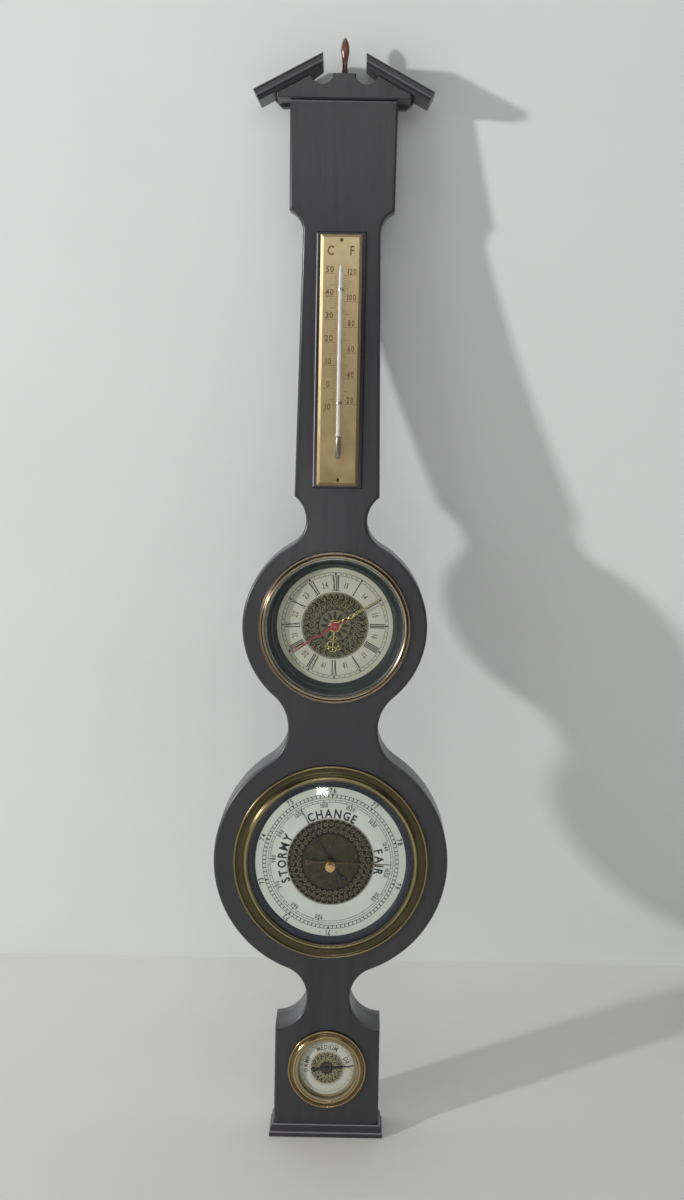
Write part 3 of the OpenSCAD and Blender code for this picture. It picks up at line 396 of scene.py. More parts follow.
def darkening_metal(name, top, foot, node):
    """Brushed sheet metal whose colour darkens towards its lower end."""
    t = Tree(name)
    lo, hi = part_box(node)
    cloud = t.noise(t.place, 60, 4)
    colour = t.mix(t.spread(t.part(t.place, 2), lo.z, hi.z), foot, top)
    colour = t.mix(t.spread(cloud, 0.35, 0.75, 0, 0.35), colour, dim(foot, 0.85))
    lines = t.noise(t.scaled((1, 1, 0.04)), 400, 3)
    return t.shade(Base_Color=colour, Metallic=1.0, Normal=t.bump(lines, 0.00003, 0.6),
                   Roughness=t.spread(cloud, 0.3, 0.75, 0.27, 0.42))


def card(name, paper, aged, y, radius, rim=(44, 48, 58)):
    """Printed card that yellows towards its radius, with a painted rim beyond it."""
    t = Tree(name)
    r = t.radius(y)
    mottle = t.noise(t.place, 55, 5, 0.6)
    age = t.math("ADD", t.spread(r, 0.55 * radius / 1000, radius / 1000, 0, 0.6),
                 t.spread(mottle, 0.35, 0.7, -0.1, 0.35))
    past = t.math("GREATER_THAN", r, radius / 1000)
    return t.shade(Base_Color=t.mix(past, t.mix(age, paper, aged), rim),
                   Roughness=t.spread(mottle, 0.3, 0.7, 0.5, 0.62), Specular_IOR_Level=0.3,
                   Normal=t.bump(t.noise(t.place, 1400, 2), 0.00001, 0.4))


def print_ink(name, colour, faded):
    """Printed ink that has faded unevenly."""
    t = Tree(name)
    fade = t.spread(t.noise(t.place, 420, 3), 0.35, 0.75, 0, 0.6)
    return t.shade(Base_Color=t.mix(fade, colour, faded),
                   Roughness=t.spread(fade, 0, 1, 0.55, 0.67))


def plastic(name, colour, roughness=0.42, grain=1500):
    """Moulded plastic or paint with a fine eroded texture."""
    t = Tree(name)
    fine = t.noise(t.place, grain, 3)
    tone = t.spread(t.noise(t.place, 60, 3), 0.35, 0.7, 0, 0.3)
    return t.shade(Base_Color=t.mix(tone, colour, dim(colour, 0.75)),
                   Roughness=t.spread(fine, 0.3, 0.7, roughness - 0.06, roughness + 0.1),
                   Normal=t.bump(fine, 0.00003, 0.5))


def clear_glass():
    """Thin clear glass: see-through face on, mirror-like at a slant, faintly smeared."""
    t = Tree("clear_glass")
    clear = t.add("BsdfTransparent", {"Color": rgb((252, 253, 252))}).outputs[0]
    rough = t.spread(t.noise(t.place, 30, 4, 0.6, 1.5), 0.3, 0.8, 0.03, 0.048)
    mirror = t.add("BsdfGlossy", {"Color": (1, 1, 1, 1), "Roughness": rough}).outputs[0]
    slant = t.add("LayerWeight", {"Blend": 0.5}).outputs["Facing"]
    amount = t.math("ADD", 0.025, t.math("MULTIPLY", t.math("POWER", slant, 4.0), 0.6))
    front = t.math("SUBTRACT", 1.0, t.add("NewGeometry").outputs["Backfacing"])
    return t.blend(t.math("MULTIPLY", amount, front), clear, mirror)


print("recipes ready")

# %% [markdown]
# The case is dark stained hardwood under a satin lacquer. The same recipe is turned so
# that its grain runs up the boards, along each cornice and across the base. The metal
# parts are lacquered brass with tarnish; on the bezels, bands of colour paint a highlight
# on each turned crest and painted shade, with tarnish, in each hollow.
# %% Materials
DARK, LIGHT = (42, 41, 44), (56, 54, 57)
RAKE = math.radians(28.5)
# The case's band is a painted highlight where the board's eased top edge catches the light under
# the pediment
wood("case_wood", DARK, LIGHT, mark_heights=[(910.8, 912.7)])
wood("cornice_wood_left", DARK, LIGHT, turn=RAKE - math.pi / 2)
wood("cornice_wood_right", DARK, LIGHT, turn=math.pi / 2 - RAKE)
# The base's two bands are painted highlights where the edges of its moulding catch the light
wood("cross_wood", DARK, LIGHT, turn=math.pi / 2, mark_heights=[(3.7, 4.6), (9.7, 10.5)])
# A lighter copy of the wood: painted highlight for the line along each cornice's arris
wood("painted_cornice_highlight", (98, 94, 101), (136, 132, 140))
# The finial's band makes its foot darker
wood("finial_wood", (74, 42, 32), (132, 84, 64), roughness=0.22, coat=0.8,
     mark_heights=[(920, 944.5)], band_mark=(42, 32, 32), dust_and_top_light=0)
# A lighter copy of the case wood: painted light on the back board, whose ears face the window on
# the left
wood("painted_lit_back_wood", (70, 69, 74), (92, 90, 96), roughness=0.42, coat=0.1)
# Band colours are painted light: a highlight on each turned crest and shade in each hollow
turned_metal("clock_brass", "clock_bezel", [
    (6, (84, 80, 70)), (5, (190, 176, 150)), (4.2, (176, 160, 134)), (3.4, (74, 62, 52)),
    (2.5, (84, 72, 60)), (1.9, (164, 148, 126)), (0.7, (142, 126, 108)),
    (0, (70, 62, 54))], 0.2, 0.4)
turned_metal("barometer_brass", "barometer_bezel", [
    (13.5, (74, 72, 64)), (12.2, (116, 108, 84)), (11, (184, 170, 126)),
    (10, (146, 132, 92)), (9.2, (70, 64, 48)), (7, (98, 90, 66)), (3, (86, 78, 58)),
    (2.2, (62, 56, 44)), (1.3, (166, 152, 112)), (0.6, (142, 128, 92)),
    (0, (62, 56, 44))], 0.2, 0.4)
turned_metal("hygrometer_brass", "hygrometer_bezel", [
    (9, (176, 164, 136)), (7.4, (184, 168, 134)), (6.6, (112, 98, 74)),
    (5.5, (222, 198, 144)), (4.6, (132, 114, 80)), (2.8, (124, 106, 74)),
    (1.8, (96, 82, 58)), (1, (200, 176, 130)), (0, (104, 90, 66))], 0.16, 0.3)
darkening_metal("plate_brass", (228, 206, 162), (172, 150, 108), "thermometer_plate")
card("clock_card", (208, 207, 190), (188, 186, 164), CLOCK_Y, 60)
card("barometer_card", (222, 224, 216), (206, 208, 196), BARO_Y, 66.5)
card("hygrometer_card", (216, 215, 202), (200, 197, 180), HYGRO_Y, 24.2, (172, 152, 108))
clear_glass()

# Name, bright and tarnished colour, roughness, scale of the tarnish and its amount
for row in (
        ("hand_brass", (206, 190, 138), (138, 122, 78), 0.22, 220, 0.5),
        ("knob_brass", (236, 196, 140), (140, 104, 70), 0.1, 420, 0.5),
        ("pin_bronze", (120, 88, 56), (70, 50, 34), 0.3, 400, 0.6),
        ("plain_steel", (172, 172, 170), (118, 116, 112), 0.34, 50, 0.6),
        ("dark_steel", (110, 114, 122), (66, 68, 74), 0.38, 70, 0.6),
        ("blued_spring", (92, 104, 138), (58, 66, 92), 0.25, 160, 0.5),
        ("nickel_silver", (196, 194, 184), (150, 148, 138), 0.26, 80, 0.5),
        ("bronze_strip", (196, 150, 84), (132, 96, 52), 0.3, 120, 0.6),
        ("inner_brass", (206, 176, 104), (150, 122, 66), 0.28, 140, 0.5),
        ("filigree_ground", (78, 78, 62), (52, 52, 42), 0.42, 300, 0.8),
        ("filigree_scrolls", (164, 162, 130), (120, 118, 92), 0.36, 260, 0.6),
        ("barometer_ground", (52, 48, 40), (36, 34, 28), 0.42, 300, 0.8),
        ("barometer_scrolls", (148, 140, 114), (106, 100, 80), 0.36, 260, 0.6),
        ("hygrometer_ground", (76, 71, 56), (52, 48, 38), 0.42, 300, 0.8),
        ("hygrometer_scrolls", (220, 212, 178), (176, 166, 132), 0.36, 260, 0.6),
        ("sunburst_ground", (142, 140, 116), (108, 106, 86), 0.4, 300, 0.6),
        ("centre_plate", (88, 82, 64), (58, 54, 42), 0.4, 260, 0.9),
        ("dull_brass", (118, 102, 72), (78, 66, 46), 0.34, 220, 0.6),
        ("clip_silver", (206, 204, 196), (150, 146, 136), 0.2, 220, 0.5)):
    metal(*row)
# Name, colour, roughness and grain
for row in (
        ("olive_petals", (98, 92, 70), 0.45, 900),
        ("sunburst_petals", (52, 50, 42), 0.45, 900),
        ("well_paint", (42, 50, 52), 0.3, 900),
        ("navy_paint", (44, 48, 60), 0.3, 900),
        ("black_lacquer", (26, 26, 28), 0.25, 600),
        ("red_lacquer", (168, 54, 66), 0.28, 600),
        # Painted highlight for the backing's left edge
        ("backing_highlight_paint", (206, 203, 212), 0.2, 400),
        ("backing_board", (40, 39, 44), 0.2, 700),
        ("black_plastic", (44, 44, 46), 0.45),
        ("cover_plastic", (52, 52, 54), 0.5),
        ("white_plastic", (214, 210, 198), 0.4)):
    plastic(*row)
for row in (("black_ink", (26, 26, 26), (44, 43, 41)),
            ("brown_ink", (92, 86, 66), (116, 108, 84)),
            ("plate_ink", (112, 86, 46), (138, 110, 66))):
    print_ink(*row)
print(len(finishes), "finishes")

# %% [markdown]
# The boards follow one outline made of straight lines and arcs. The edge is rounded by
# drawing the outline inward along its normals by r - r cos(a) while the height rises by
# r sin(a), so the rounding keeps its size in every curve.
# %% Outline of the case
BOX_W = 92.8
CLOCK_R = 81.2
BARO_R = outer_r("front_board")
LOW_NECK_R, WAIST_R, HIGH_NECK_R = 27.2, 37.2, 26.3
HIGH_NECK_Y, SHOULDER_R = 548, 21
STEM_FOOT = (37, HIGH_NECK_Y + 21.3)
STEM_TOP = (33.7, 799)
HEAD_FOOT = (45, 819.5)
HEAD_TOP = (46.8, 912.9)


def arc(centre, r, start, end, step=2.0):
    """Points of a circle from one angle to another, in degrees from +x."""
    n = max(2, int(abs(end - start) / step) + 1)
    a = np.radians(np.linspace(start, end, n))
    return np.stack([centre[0] + r * np.cos(a), centre[1] + r * np.sin(a)], axis=1)


def direction(start, end):
    """Angle in degrees of the line from one point to another."""
    return math.degrees(math.atan2(end[1] - start[1], end[0] - start[0]))


def both_sides(right):
    """A loop from its right half and the half's mirror image."""
    return np.concatenate([right, (right * [-1, 1])[::-1]])


def right_side():
    """The outline's right half, from the foot to the head: arcs that touch each other."""
    clock, baro = (0, CLOCK_Y), (0, BARO_Y)
    low = (BOX_W / 2, BARO_Y - math.sqrt((BARO_R + LOW_NECK_R) ** 2 - (BOX_W / 2) ** 2))
    gap, reach = CLOCK_Y - BARO_Y, CLOCK_R + WAIST_R
    down = (reach ** 2 - (BARO_R + WAIST_R) ** 2 + gap ** 2) / (2 * gap)
    waist = (math.sqrt(reach ** 2 - down ** 2), CLOCK_Y - down)
    high = (math.sqrt((CLOCK_R + HIGH_NECK_R) ** 2 - (HIGH_NECK_Y - CLOCK_Y) ** 2),
            HIGH_NECK_Y)
    shoulder = (STEM_TOP[0] + SHOULDER_R, STEM_TOP[1])
    d1, d2 = direction(baro, low), direction(baro, waist)
    d3, d4 = direction(clock, waist), direction(clock, high)
    return np.concatenate([
        [(BOX_W / 2, 0)],
        arc(low, LOW_NECK_R, 270, d1 + 180),
        arc(baro, BARO_R, d1, d2, 1.2)[1:],
        arc(waist, WAIST_R, d2 + 180, d3 + 180)[1:],
        arc(clock, CLOCK_R, d3, d4, 1.2)[1:],
        arc(high, HIGH_NECK_R, d4 + 180, direction(high, STEM_FOOT))[1:],
        [STEM_TOP],
        arc(shoulder, SHOULDER_R, 180, direction(shoulder, HEAD_FOOT))[1:],
        [HEAD_TOP]])


outline = both_sides(right_side())
print("outline", len(outline), outline.min(0), outline.max(0))

# %% [markdown]
# A board is the outline in a stack of rings: the back edge, the side wall, the rounded
# edge, then a narrow flat ring that keeps the shading of the face clean. The front and
# the back are filled with triangles round the openings, and each opening gets a wall.
# %% Boards of the case


def inset(loop, distance):
    """A closed outline moved inward by a distance, mitred at its corners."""
    before, after = loop - np.roll(loop, 1, axis=0), np.roll(loop, -1, axis=0) - loop
    normals = [np.stack([-d[:, 1], d[:, 0]], axis=1) / np.linalg.norm(d, axis=1)[:, None]
               for d in (before, after)]
    middle = normals[0] + normals[1]
    middle /= np.maximum(0.5 * (middle ** 2).sum(axis=1, keepdims=True), 0.35)
    return loop + middle * distance


def filled(loops, z):
    """Triangles between an outline and its holes at one height."""
    corners = tessellate_polygon([[(x, y, 0) for x, y in loop] for loop in loops])
    return at_height(np.concatenate(loops), z), [list(c) for c in corners]


def walls(rings):
    """Quads between rings of (loop, z)."""
    points = np.concatenate([at_height(loop, z) for loop, z in rings])
    return points, grid_faces(len(rings), len(rings[0][0]), False, True)


def board(loop, holes, z0, z1, r, easing=0.4):
    """A board with a rounded front edge and holes, its coinciding points joined."""
    rings = [(inset(loop, easing), z0), (loop, z0 + easing)]
    rings += [(inset(loop, r * (1 - math.cos(t))), z1 - r + r * math.sin(t))
              for t in np.linspace(0, np.pi / 2, 6)]
    rings.append((inset(loop, r + 0.5), z1))
    points, faces = join([walls(rings), filled([rings[-1][0]] + holes, z1),
                          filled([rings[0][0]] + holes, z0)]
                         + [walls([(hole, z0), (hole, z1)]) for hole in holes])
    _, first, place = np.unique(np.round(points, 5), axis=0, return_index=True,
                                return_inverse=True)
    place = place.ravel().tolist()
    return points[first], [[place[i] for i in f] for f in faces]


BACK_Z = face_box("back_board")[1][2]
front_holes = [circle(0, y, r) for y, r in ((BARO_Y, 71), (CLOCK_Y, 61), (HYGRO_Y, 27.6))]
FRONT_EDGE_R, PEDIMENT_EDGE_R, FRAME_EDGE_R = 2.4, 0.9, 1.6
make("front_board_rounded", board(outline, front_holes, BACK_Z, BOARD_Z, FRONT_EDGE_R),
     "dark_wood", "case_wood", "front_board")
print("front board made")

# %% [markdown]
# The pediment is a thick block with two round notches beside the finial's plinth. Each
# cornice is one moulding profile, a fascia over a cove, carried up the slope and cut
# plumb at its inner end. The base moulding is mitred round three sides of the box.
# %% Pediment, cornices and base
tympanum_low, tympanum_high = face_box("tympanum")
cornice_low, cornice_high = face_box("cornice_right")
HEAD_TOP_Y = tympanum_low[1]
TYMPANUM_X, PLINTH_Y = tympanum_high[:2]
INNER_X, TIP_X, CORNICE_Z = cornice_low[0], cornice_high[0], cornice_high[2]
CORNICE_H, COVE_R = 10.8, 3.4
TIP_Y = HEAD_TOP_Y + 6
NOTCH_X, NOTCH_R = 19, 10.5
PLINTH_X = 10


def tympanum_side():
    """Right half of the pediment block, up round the notch to the plinth."""
    under_tip = TIP_Y - CORNICE_H / math.cos(RAKE)
    notch = (NOTCH_X, PLINTH_Y + 1.1)
    rise = math.degrees(math.asin((PLINTH_Y - notch[1]) / NOTCH_R))
    depth = math.sqrt(NOTCH_R ** 2 - (NOTCH_X - PLINTH_X) ** 2)
    return np.concatenate([
        [(TYMPANUM_X, HEAD_TOP_Y),
         (TYMPANUM_X, under_tip + (TIP_X - TYMPANUM_X) * math.tan(RAKE)),
         (TIP_X - (PLINTH_Y - under_tip) / math.tan(RAKE), PLINTH_Y)],
        arc(notch, NOTCH_R, rise, direction((NOTCH_X, 0), (PLINTH_X, -depth)), 8),
        [(PLINTH_X, PLINTH_Y)]])


pediment = board(both_sides(tympanum_side()), [], BACK_Z, tympanum_high[2], PEDIMENT_EDGE_R)
make("pediment_block", pediment, "dark_wood", "cross_wood", "tympanum")

# Moulding profiles as (out from the cornice's front, up from its top)
cove = [(COVE_R * math.cos(t), COVE_R * math.sin(t) - CORNICE_H)
        for t in np.radians(np.linspace(180, 90, 8))]
back = BACK_Z - CORNICE_Z
moulding = [(back, -CORNICE_H)] + cove + [
    (0, -6.2), (-0.3, -5.7), (-1.2, -5.4), (-1.3, -1.8), (-0.7, -1.5), (-0.6, -0.7),
    (-1.6, 0), (back, 0)]
# A thin strip along each cornice's arris, coloured as a painted highlight
highlight_line = [(-1, -6.5), (0, -6.5), (0, -5.6), (-1, -5.6)]


def cornice(side, section):
    """The moulding at three places: the square outer end, the trim and the plumb cut."""
    z, h = np.array(section).T
    c, s = math.cos(RAKE), math.sin(RAKE)
    stations = []
    for x_end in (None, 30.2, INNER_X):
        run = 0 * h if x_end is None else (TIP_X - x_end + h * s) / c
        y = TIP_Y + run * s + h * c
        if x_end == INNER_X:
            y = np.maximum(y, PLINTH_Y + 6.8)
        stations.append(np.stack([run * c - h * s - TIP_X, y, z + CORNICE_Z], axis=1))
    return strips([np.array(stations) * [side, 1, 1]])


for side, word in ((1, "left"), (-1, "right")):
    make(word + "_cornice", cornice(side, moulding), "dark_wood", "cornice_wood_" + word,
         "cornice_" + word, 24)
    make(word + "_cornice_line", cornice(side, highlight_line), "dark_wood", "painted_cornice_highlight")

base_high = face_box("base_moulding")[1]
LIP, BASE_H = base_high[0] - BOX_W / 2, base_high[1]
ovolo = [(0.9 * math.cos(t) - 2.9, 0.9 * math.sin(t) - 0.9)
         for t in np.linspace(0, np.pi / 2, 6)]
# The base's profile: up from the floor, then down from its top
base_profile = [(0, 0), (LIP - 0.4, 0), (LIP, 0.4), (LIP, 3.9), (LIP - 0.35, 4.3),
                (LIP - 0.6, 4.45), (LIP - 0.7, 4.8), (LIP - 1.3, 4.95), (LIP - 1.45, 7.2)]
base_profile += [(LIP + x, BASE_H + y) for x, y in [(-1.3, -1.5), (-2, -1.4)] + ovolo]
base_profile.append((0, BASE_H))
out, up = np.array(base_profile).T
corners = [(side * (BOX_W / 2 + out), up, 0 * out + z)
           for side, z in ((-1, BACK_Z), (-1, BOARD_Z + out), (1, BOARD_Z + out), (1, BACK_Z))]
make("foot_moulding", strips([[np.stack(corner, axis=1) for corner in corners]]),
     "dark_wood", "cross_wood", "base_moulding", 24)

finial_low, finial_high = face_box("finial")
FINIAL_Z = (finial_low[2] + finial_high[2]) / 2
FINIAL_H = finial_high[1] - PLINTH_Y
turning = smooth_curve([(3.5, 0.2), (3.5, 0.9), (2.95, 2.4), (2.4, 5), (2.2, 9), (2.4, 13),
                        (3.1, 17), (3.7, 20.5), (3.85, 23), (3.6, 26), (2.9, 29),
                        (1.8, 31.8), (0.8, 33.3)], 4) * [1, FINIAL_H / 33.9]
finial_profile = np.concatenate([[(0, -8), (1.5, -8), (1.5, 0), (3.2, 0)], turning,
                                 [(0, FINIAL_H)]]) + [0, PLINTH_Y]
make("turned_finial", upright(finial_profile, FINIAL_Z), "red_wood", "finial_wood", "finial", 50)
print("pediment, base and finial made")

# %% [markdown]
# Letters come from the font as outlines, are made solid once each, and are then placed
# one by one: in a row on the thermometer plate, or turned about a dial's centre so that
# their feet point inward. Roman numerals are built from straight strokes with serifs.
# %% Letters and numerals
PRINT = 0.05


def glyph(letter, weight=0.022):
    """One letter as a thin solid: points and faces, its strokes widened by a weight."""
    curve = bpy.data.curves.new("letter", "FONT")
    curve.body = letter
    curve.extrude = 0.5
    curve.offset = weight
    curve.resolution_u = 2
    holder = in_scene("letter", curve)
    graph = bpy.context.evaluated_depsgraph_get()
    solid = bpy.data.meshes.new_from_object(holder.evaluated_get(graph))
    flat = np.empty(len(solid.vertices) * 3)
    solid.vertices.foreach_get("co", flat)
    faces = [list(p.vertices) for p in solid.polygons]
    bpy.data.objects.remove(holder)
    bpy.data.curves.remove(curve)
    bpy.data.meshes.remove(solid)
    return flat.reshape(-1, 3), faces


LETTERS = {c: glyph(c) for c in "0123456789CF"}
LETTERS.update({c: glyph(c, 0.03) for c in "STORMYHANGEIDPU"})
CAPITAL = LETTERS["H"][0][:, 1].max()


def spaced(text, height, stretch, gap, z):
    """A word's letters (points, faces, place of the middle), the word centred on 0."""
    letters, widths = [], []
    for c in text:
        points, faces = LETTERS[c]
        x = points[:, 0] * stretch
        middle = (x.min() + x.max()) / 2
        widths.append((x.max() - x.min()) * height / CAPITAL)
        letters.append((np.stack([(x - middle) * height / CAPITAL,
                                  points[:, 1] * height / CAPITAL,
                                  np.where(points[:, 2] > 0, z + PRINT, z)], axis=1), faces))
    ends = np.cumsum(np.array(widths) + gap * height) - gap * height
    places = ends - np.array(widths) / 2 - ends[-1] / 2
    return [(points, faces, place) for (points, faces), place in zip(letters, places)]


def stroke(x0, y0, x1, y1, width):
    """A line from one point to another as a polygon with level ends."""
    w = width / 2
    return [(x0 - w, y0), (x0 + w, y0), (x1 + w, y1), (x1 - w, y1)]


# Width of a Roman letter of height 1, its lines from foot to head, and its serifs
THICK, THIN, SERIF, GAP = 0.17, 0.07, 0.035, 0.03
FOOT_LINE, HEAD_LINE = 0, 1 - SERIF - 0.005
ROMAN = {
    "I": (0.24, [(0.12, 0.12, THICK)], [(0.12, FOOT_LINE), (0.12, HEAD_LINE)]),
    "V": (0.62, [(0.31, 0.13, THICK), (0.31, 0.49, THIN)],
          [(0.13, HEAD_LINE), (0.49, HEAD_LINE)]),
    "X": (0.62, [(0.49, 0.13, THICK), (0.13, 0.49, THIN)],
          [(0.13, FOOT_LINE), (0.49, FOOT_LINE), (0.13, HEAD_LINE), (0.49, HEAD_LINE)])}


def roman(text):
    """Strokes of a Roman numeral of height 1, as four-cornered polygons."""
    strokes, start = [], 0.0
    for letter in text:
        width, lines, serifs = ROMAN[letter]
        strokes += [stroke(start + foot, 0, start + head, 1, w) for foot, head, w in lines]
        strokes += [stroke(start + x, y, start + x, y + SERIF, 0.24) for x, y in serifs]
        start += width + GAP
    return np.array(strokes) - [(start - GAP) / 2, 0]


class Dial:
    """Shapes that lie on a round dial: its centre is at height y and its face at z.

    Heights low and high are counted from the face."""

    # Scrollwork: where it starts, the tops of scrolls and rings, turns and shrinking
    LOW, SCROLL_TOP, RING_TOP = 0.18, 0.5, 0.45
    TURNS, SHRINK = 1.35, 0.86

    def __init__(self, y, z):
        self.y, self.z = y, z

    def repeated(self, points, angles, r=0):
        """The same flat points at each of several angles: (angles, points, 2)."""
        return np.stack([around(points, a, self.y, r) for a in angles])

    def plates(self, points, angles, low=0.0, high=PRINT):
        """One flat shape at several angles, given a thickness."""
        return prisms(self.repeated(points, angles), self.z + low, self.z + high)

    def ring(self, r0, r1, low=0.0, high=PRINT):
        """A flat ring from one radius to another."""
        z0, z1 = self.z + low, self.z + high
        return lathe([(r0, z0), (r1, z0), (r1, z1), (r0, z1)], self.y, 160)

    def ticks(self, angles, r0, r1, width):
        """Short radial lines."""
        return self.plates(stroke(0, r0, 0, r1, width), angles)

    def dots(self, angles, r, size, corners=8):
        """Small many-cornered dots on a circle."""
        return self.plates(circle(0, r, size / 2, corners), angles)

    def word(self, text, angle, r, height, stretch=1.0, gap=0.16):
        """Words bent round the dial, with the letters' feet at radius r."""
        parts = []
        for points, faces, place in spaced(text, height, stretch, gap, self.z):
            turn = angle + math.degrees(place / (r + height / 2))
            flat = around(points[:, :2], turn, self.y, r)
            parts.append((at_height(flat, points[:, 2]), faces))
        return join(parts)

    def petals(self, r0, r1, width, count, low, high):
        """Pointed petals, widest in the middle: width times sin(pi t)."""
        t = np.linspace(0, 1, 9)
        half = np.stack([width / 2 * np.sin(np.pi * t) ** 0.8 + 0.02, r0 + (r1 - r0) * t], 1)
        return self.plates(both_sides(half), np.arange(count) * 360 / count, low, high)

    def scrolls(self, r, size, count, width, hand, lean):
        """A row of spiral scrolls whose centres lie on a circle of radius r."""
        t = np.linspace(0, 1, 22)
        turn = lean + hand * 2 * np.pi * self.TURNS * t
        rho = size * (1 - self.SHRINK * t)
        spiral = np.stack([rho * np.cos(turn), rho * np.sin(turn)], axis=1)
        paths = self.repeated(spiral, np.arange(count) * 360 / count, r)
        section = round_section(self.z + self.LOW, self.z + self.SCROLL_TOP)
        return ribbons(paths, width * (1 - 0.4 * t), section)

    def small_rings(self, r, size, count, width):
        """Rings halfway between the scrolls of a row."""
        a = np.linspace(0, 2 * np.pi, 13)
        ring = np.stack([size * np.cos(a), size * np.sin(a)], axis=1)
        paths = self.repeated(ring, (np.arange(count) + 0.5) * 360 / count, r)
        section = round_section(self.z + self.LOW, self.z + self.RING_TOP)
        return ribbons(paths, width, section)


# The barometer's dial has a raised rim, so its face lies lower than its box
BARO_FACE = 29.6
CLOCK = Dial(CLOCK_Y, face_box("clock_dial")[1][2])
BARO = Dial(BARO_Y, BARO_FACE)
HYGRO = Dial(HYGRO_Y, face_box("hygrometer_dial")[1][2])
print("letters ready", len(LETTERS))

# %% [markdown]
# The thermometer is a brass plate on a dark backing with a glass tube in front. The
# scale runs in straight steps, so each number's height is its temperature times the
# step. The tube and its liquid are turned about the plumb axis of the bore.
# %% Thermometer
plate_high = face_box("thermometer_plate")[1]
tube_low, tube_high = face_box("thermometer_tube")
liquid_low, liquid_high = face_box("thermometer_column")
PLATE_Z = plate_high[2]
TUBE_Z = (tube_low[2] + tube_high[2]) / 2
TUBE_R, BULB_R = 1.7, tube_high[0]
BULB_Y = tube_low[1] + 11.7
CELSIUS_ZERO, CELSIUS_STEP = plate_high[1] - 133, 1.983
FAHRENHEIT_ZERO, FAHRENHEIT_STEP = plate_high[1] - 169, 1.11


def row(text, x, y, height, stretch):
    """Words in a straight row on the plate, centred on x, standing on y."""
    return join([(points + [x + place, y, 0], faces)
                 for points, faces, place in spaced(text, height, stretch, 0.16, PLATE_Z)])


def level(x0, x1, y, width=0.32):
    """A level line of the scale."""
    return [(x0, y - width / 2), (x1, y - width / 2), (x1, y + width / 2), (x0, y + width / 2)]


def scale(values, zero, step, x, stretch, long, short, fine, fine_values):
    """One scale's numbers, its long and short lines between them and its fine lines."""
    heights = [zero + value * step for value in values]
    between = (heights[1] - heights[0]) / 2
    words = [row(str(abs(value)), x, y + 1, 5.4, stretch) for value, y in zip(values, heights)]
    lines = [level(*long, y) for y in heights]
    lines += [level(*short, y + between) for y in heights[:-1]]
    lines += [level(*fine, zero + value * step, 0.3) for value in fine_values]
    return words + [prisms(lines, PLATE_Z, PLATE_Z + PRINT)]


(_, foot, z0), (half_w, top, z1) = face_box("thermometer_backing")
(_, low_pin, _), (_, high_pin, _) = face_box("plate_pins")
PIN_HEAD_R, PIN_HOLE_R = 1.6, 0.85
pin_holes = [circle(0, y, PIN_HOLE_R, 24)
             for y in (low_pin + PIN_HEAD_R, high_pin - PIN_HEAD_R)]
backing_loop = both_sides(np.array([(half_w, foot), (half_w, top)]))
make("thermometer_backing_eased", board(backing_loop, pin_holes, z0, z1, FRAME_EDGE_R),
     "black_board", "backing_board", "thermometer_backing")
# A pale strip along the backing's left edge: a painted highlight for the light on its rounding
band_mark = level(0.4 - half_w, 1.3 - half_w, (foot + top) / 2, top - foot - 3)
make("backing_painted_highlight", prisms([band_mark], z1 - 1.2, z1 - 0.1), "black_board", "backing_highlight_paint")
celsius = scale(range(-10, 51, 10), CELSIUS_ZERO, CELSIUS_STEP, -9.6, 0.85,
                (-14, -5.2), (-8, -5.2), (-5.2, -2.9), range(-14, 51))
fahrenheit = scale(range(20, 121, 20), FAHRENHEIT_ZERO, FAHRENHEIT_STEP, 9.6, 0.68,
                   (4.2, 14.6), (4.2, 7), (2.9, 4.6), range(10, 121, 2))
letters = [row(letter, x, plate_high[1] - 18, 8.2, 0.75)
           for letter, x in (("C", -9.2), ("F", 9.4))]
make("thermometer_scale", join(celsius + fahrenheit + letters), "black_metal", "plate_ink",
     sharp=30)

bulb = smooth_curve([(1.5, -11.2), (2.4, -9.6), (BULB_R, -7), (BULB_R, 7), (2.3, 9.6),
                     (TUBE_R, 12)], 6) + [0, BULB_Y]
bulb[:, 0] = np.minimum(bulb[:, 0], BULB_R)
top = tube_high[1]
glass_profile = np.concatenate([[(0, tube_low[1])], bulb, [
    (TUBE_R, top - 11), (1.5, top - 7), (1.1, top - 3), (0.7, top - 0.6), (0, top)]])
LIQUID_R = liquid_high[0]
liquid_profile = [(0, liquid_low[1]), (1, BULB_Y - 10.6), (1.8, BULB_Y - 9.2),
                  (LIQUID_R, BULB_Y - 6.8), (LIQUID_R, BULB_Y + 6.8), (1.7, BULB_Y + 9.2),
                  (0.45, BULB_Y + 12.4), (0.45, liquid_high[1] - 0.3),
                  (0, liquid_high[1])]


def tube_glass():
    """Opal-backed glass along the stem and clear glass round the bulb."""
    t = Tree("tube_glass")
    haze = t.spread(t.noise(t.place, 90, 2), 0.3, 0.7)
    clear = t.add("BsdfTransparent", {"Color": rgb((244, 246, 246))}).outputs[0]
    tone = t.mix(haze, (244, 245, 243), (232, 234, 232))
    body = t.add("BsdfPrincipled", {"Base Color": tone, "Roughness": 0.08}).outputs[0]
    edge = t.add("LayerWeight", {"Blend": 0.35}).outputs["Facing"]
    stem = t.math("GREATER_THAN", t.part(t.place, 2), FOOT + (BULB_Y + 9) / 1000)
    opal = t.spread(edge, 0, 1, 0.75, 0.95)
    thin = t.spread(edge, 0.3, 1, 0.05, 0.8)
    factor = t.math("ADD", t.math("MULTIPLY", opal, stem),
                    t.math("MULTIPLY", thin, t.math("SUBTRACT", 1.0, stem)))
    return t.blend(factor, clear, body)


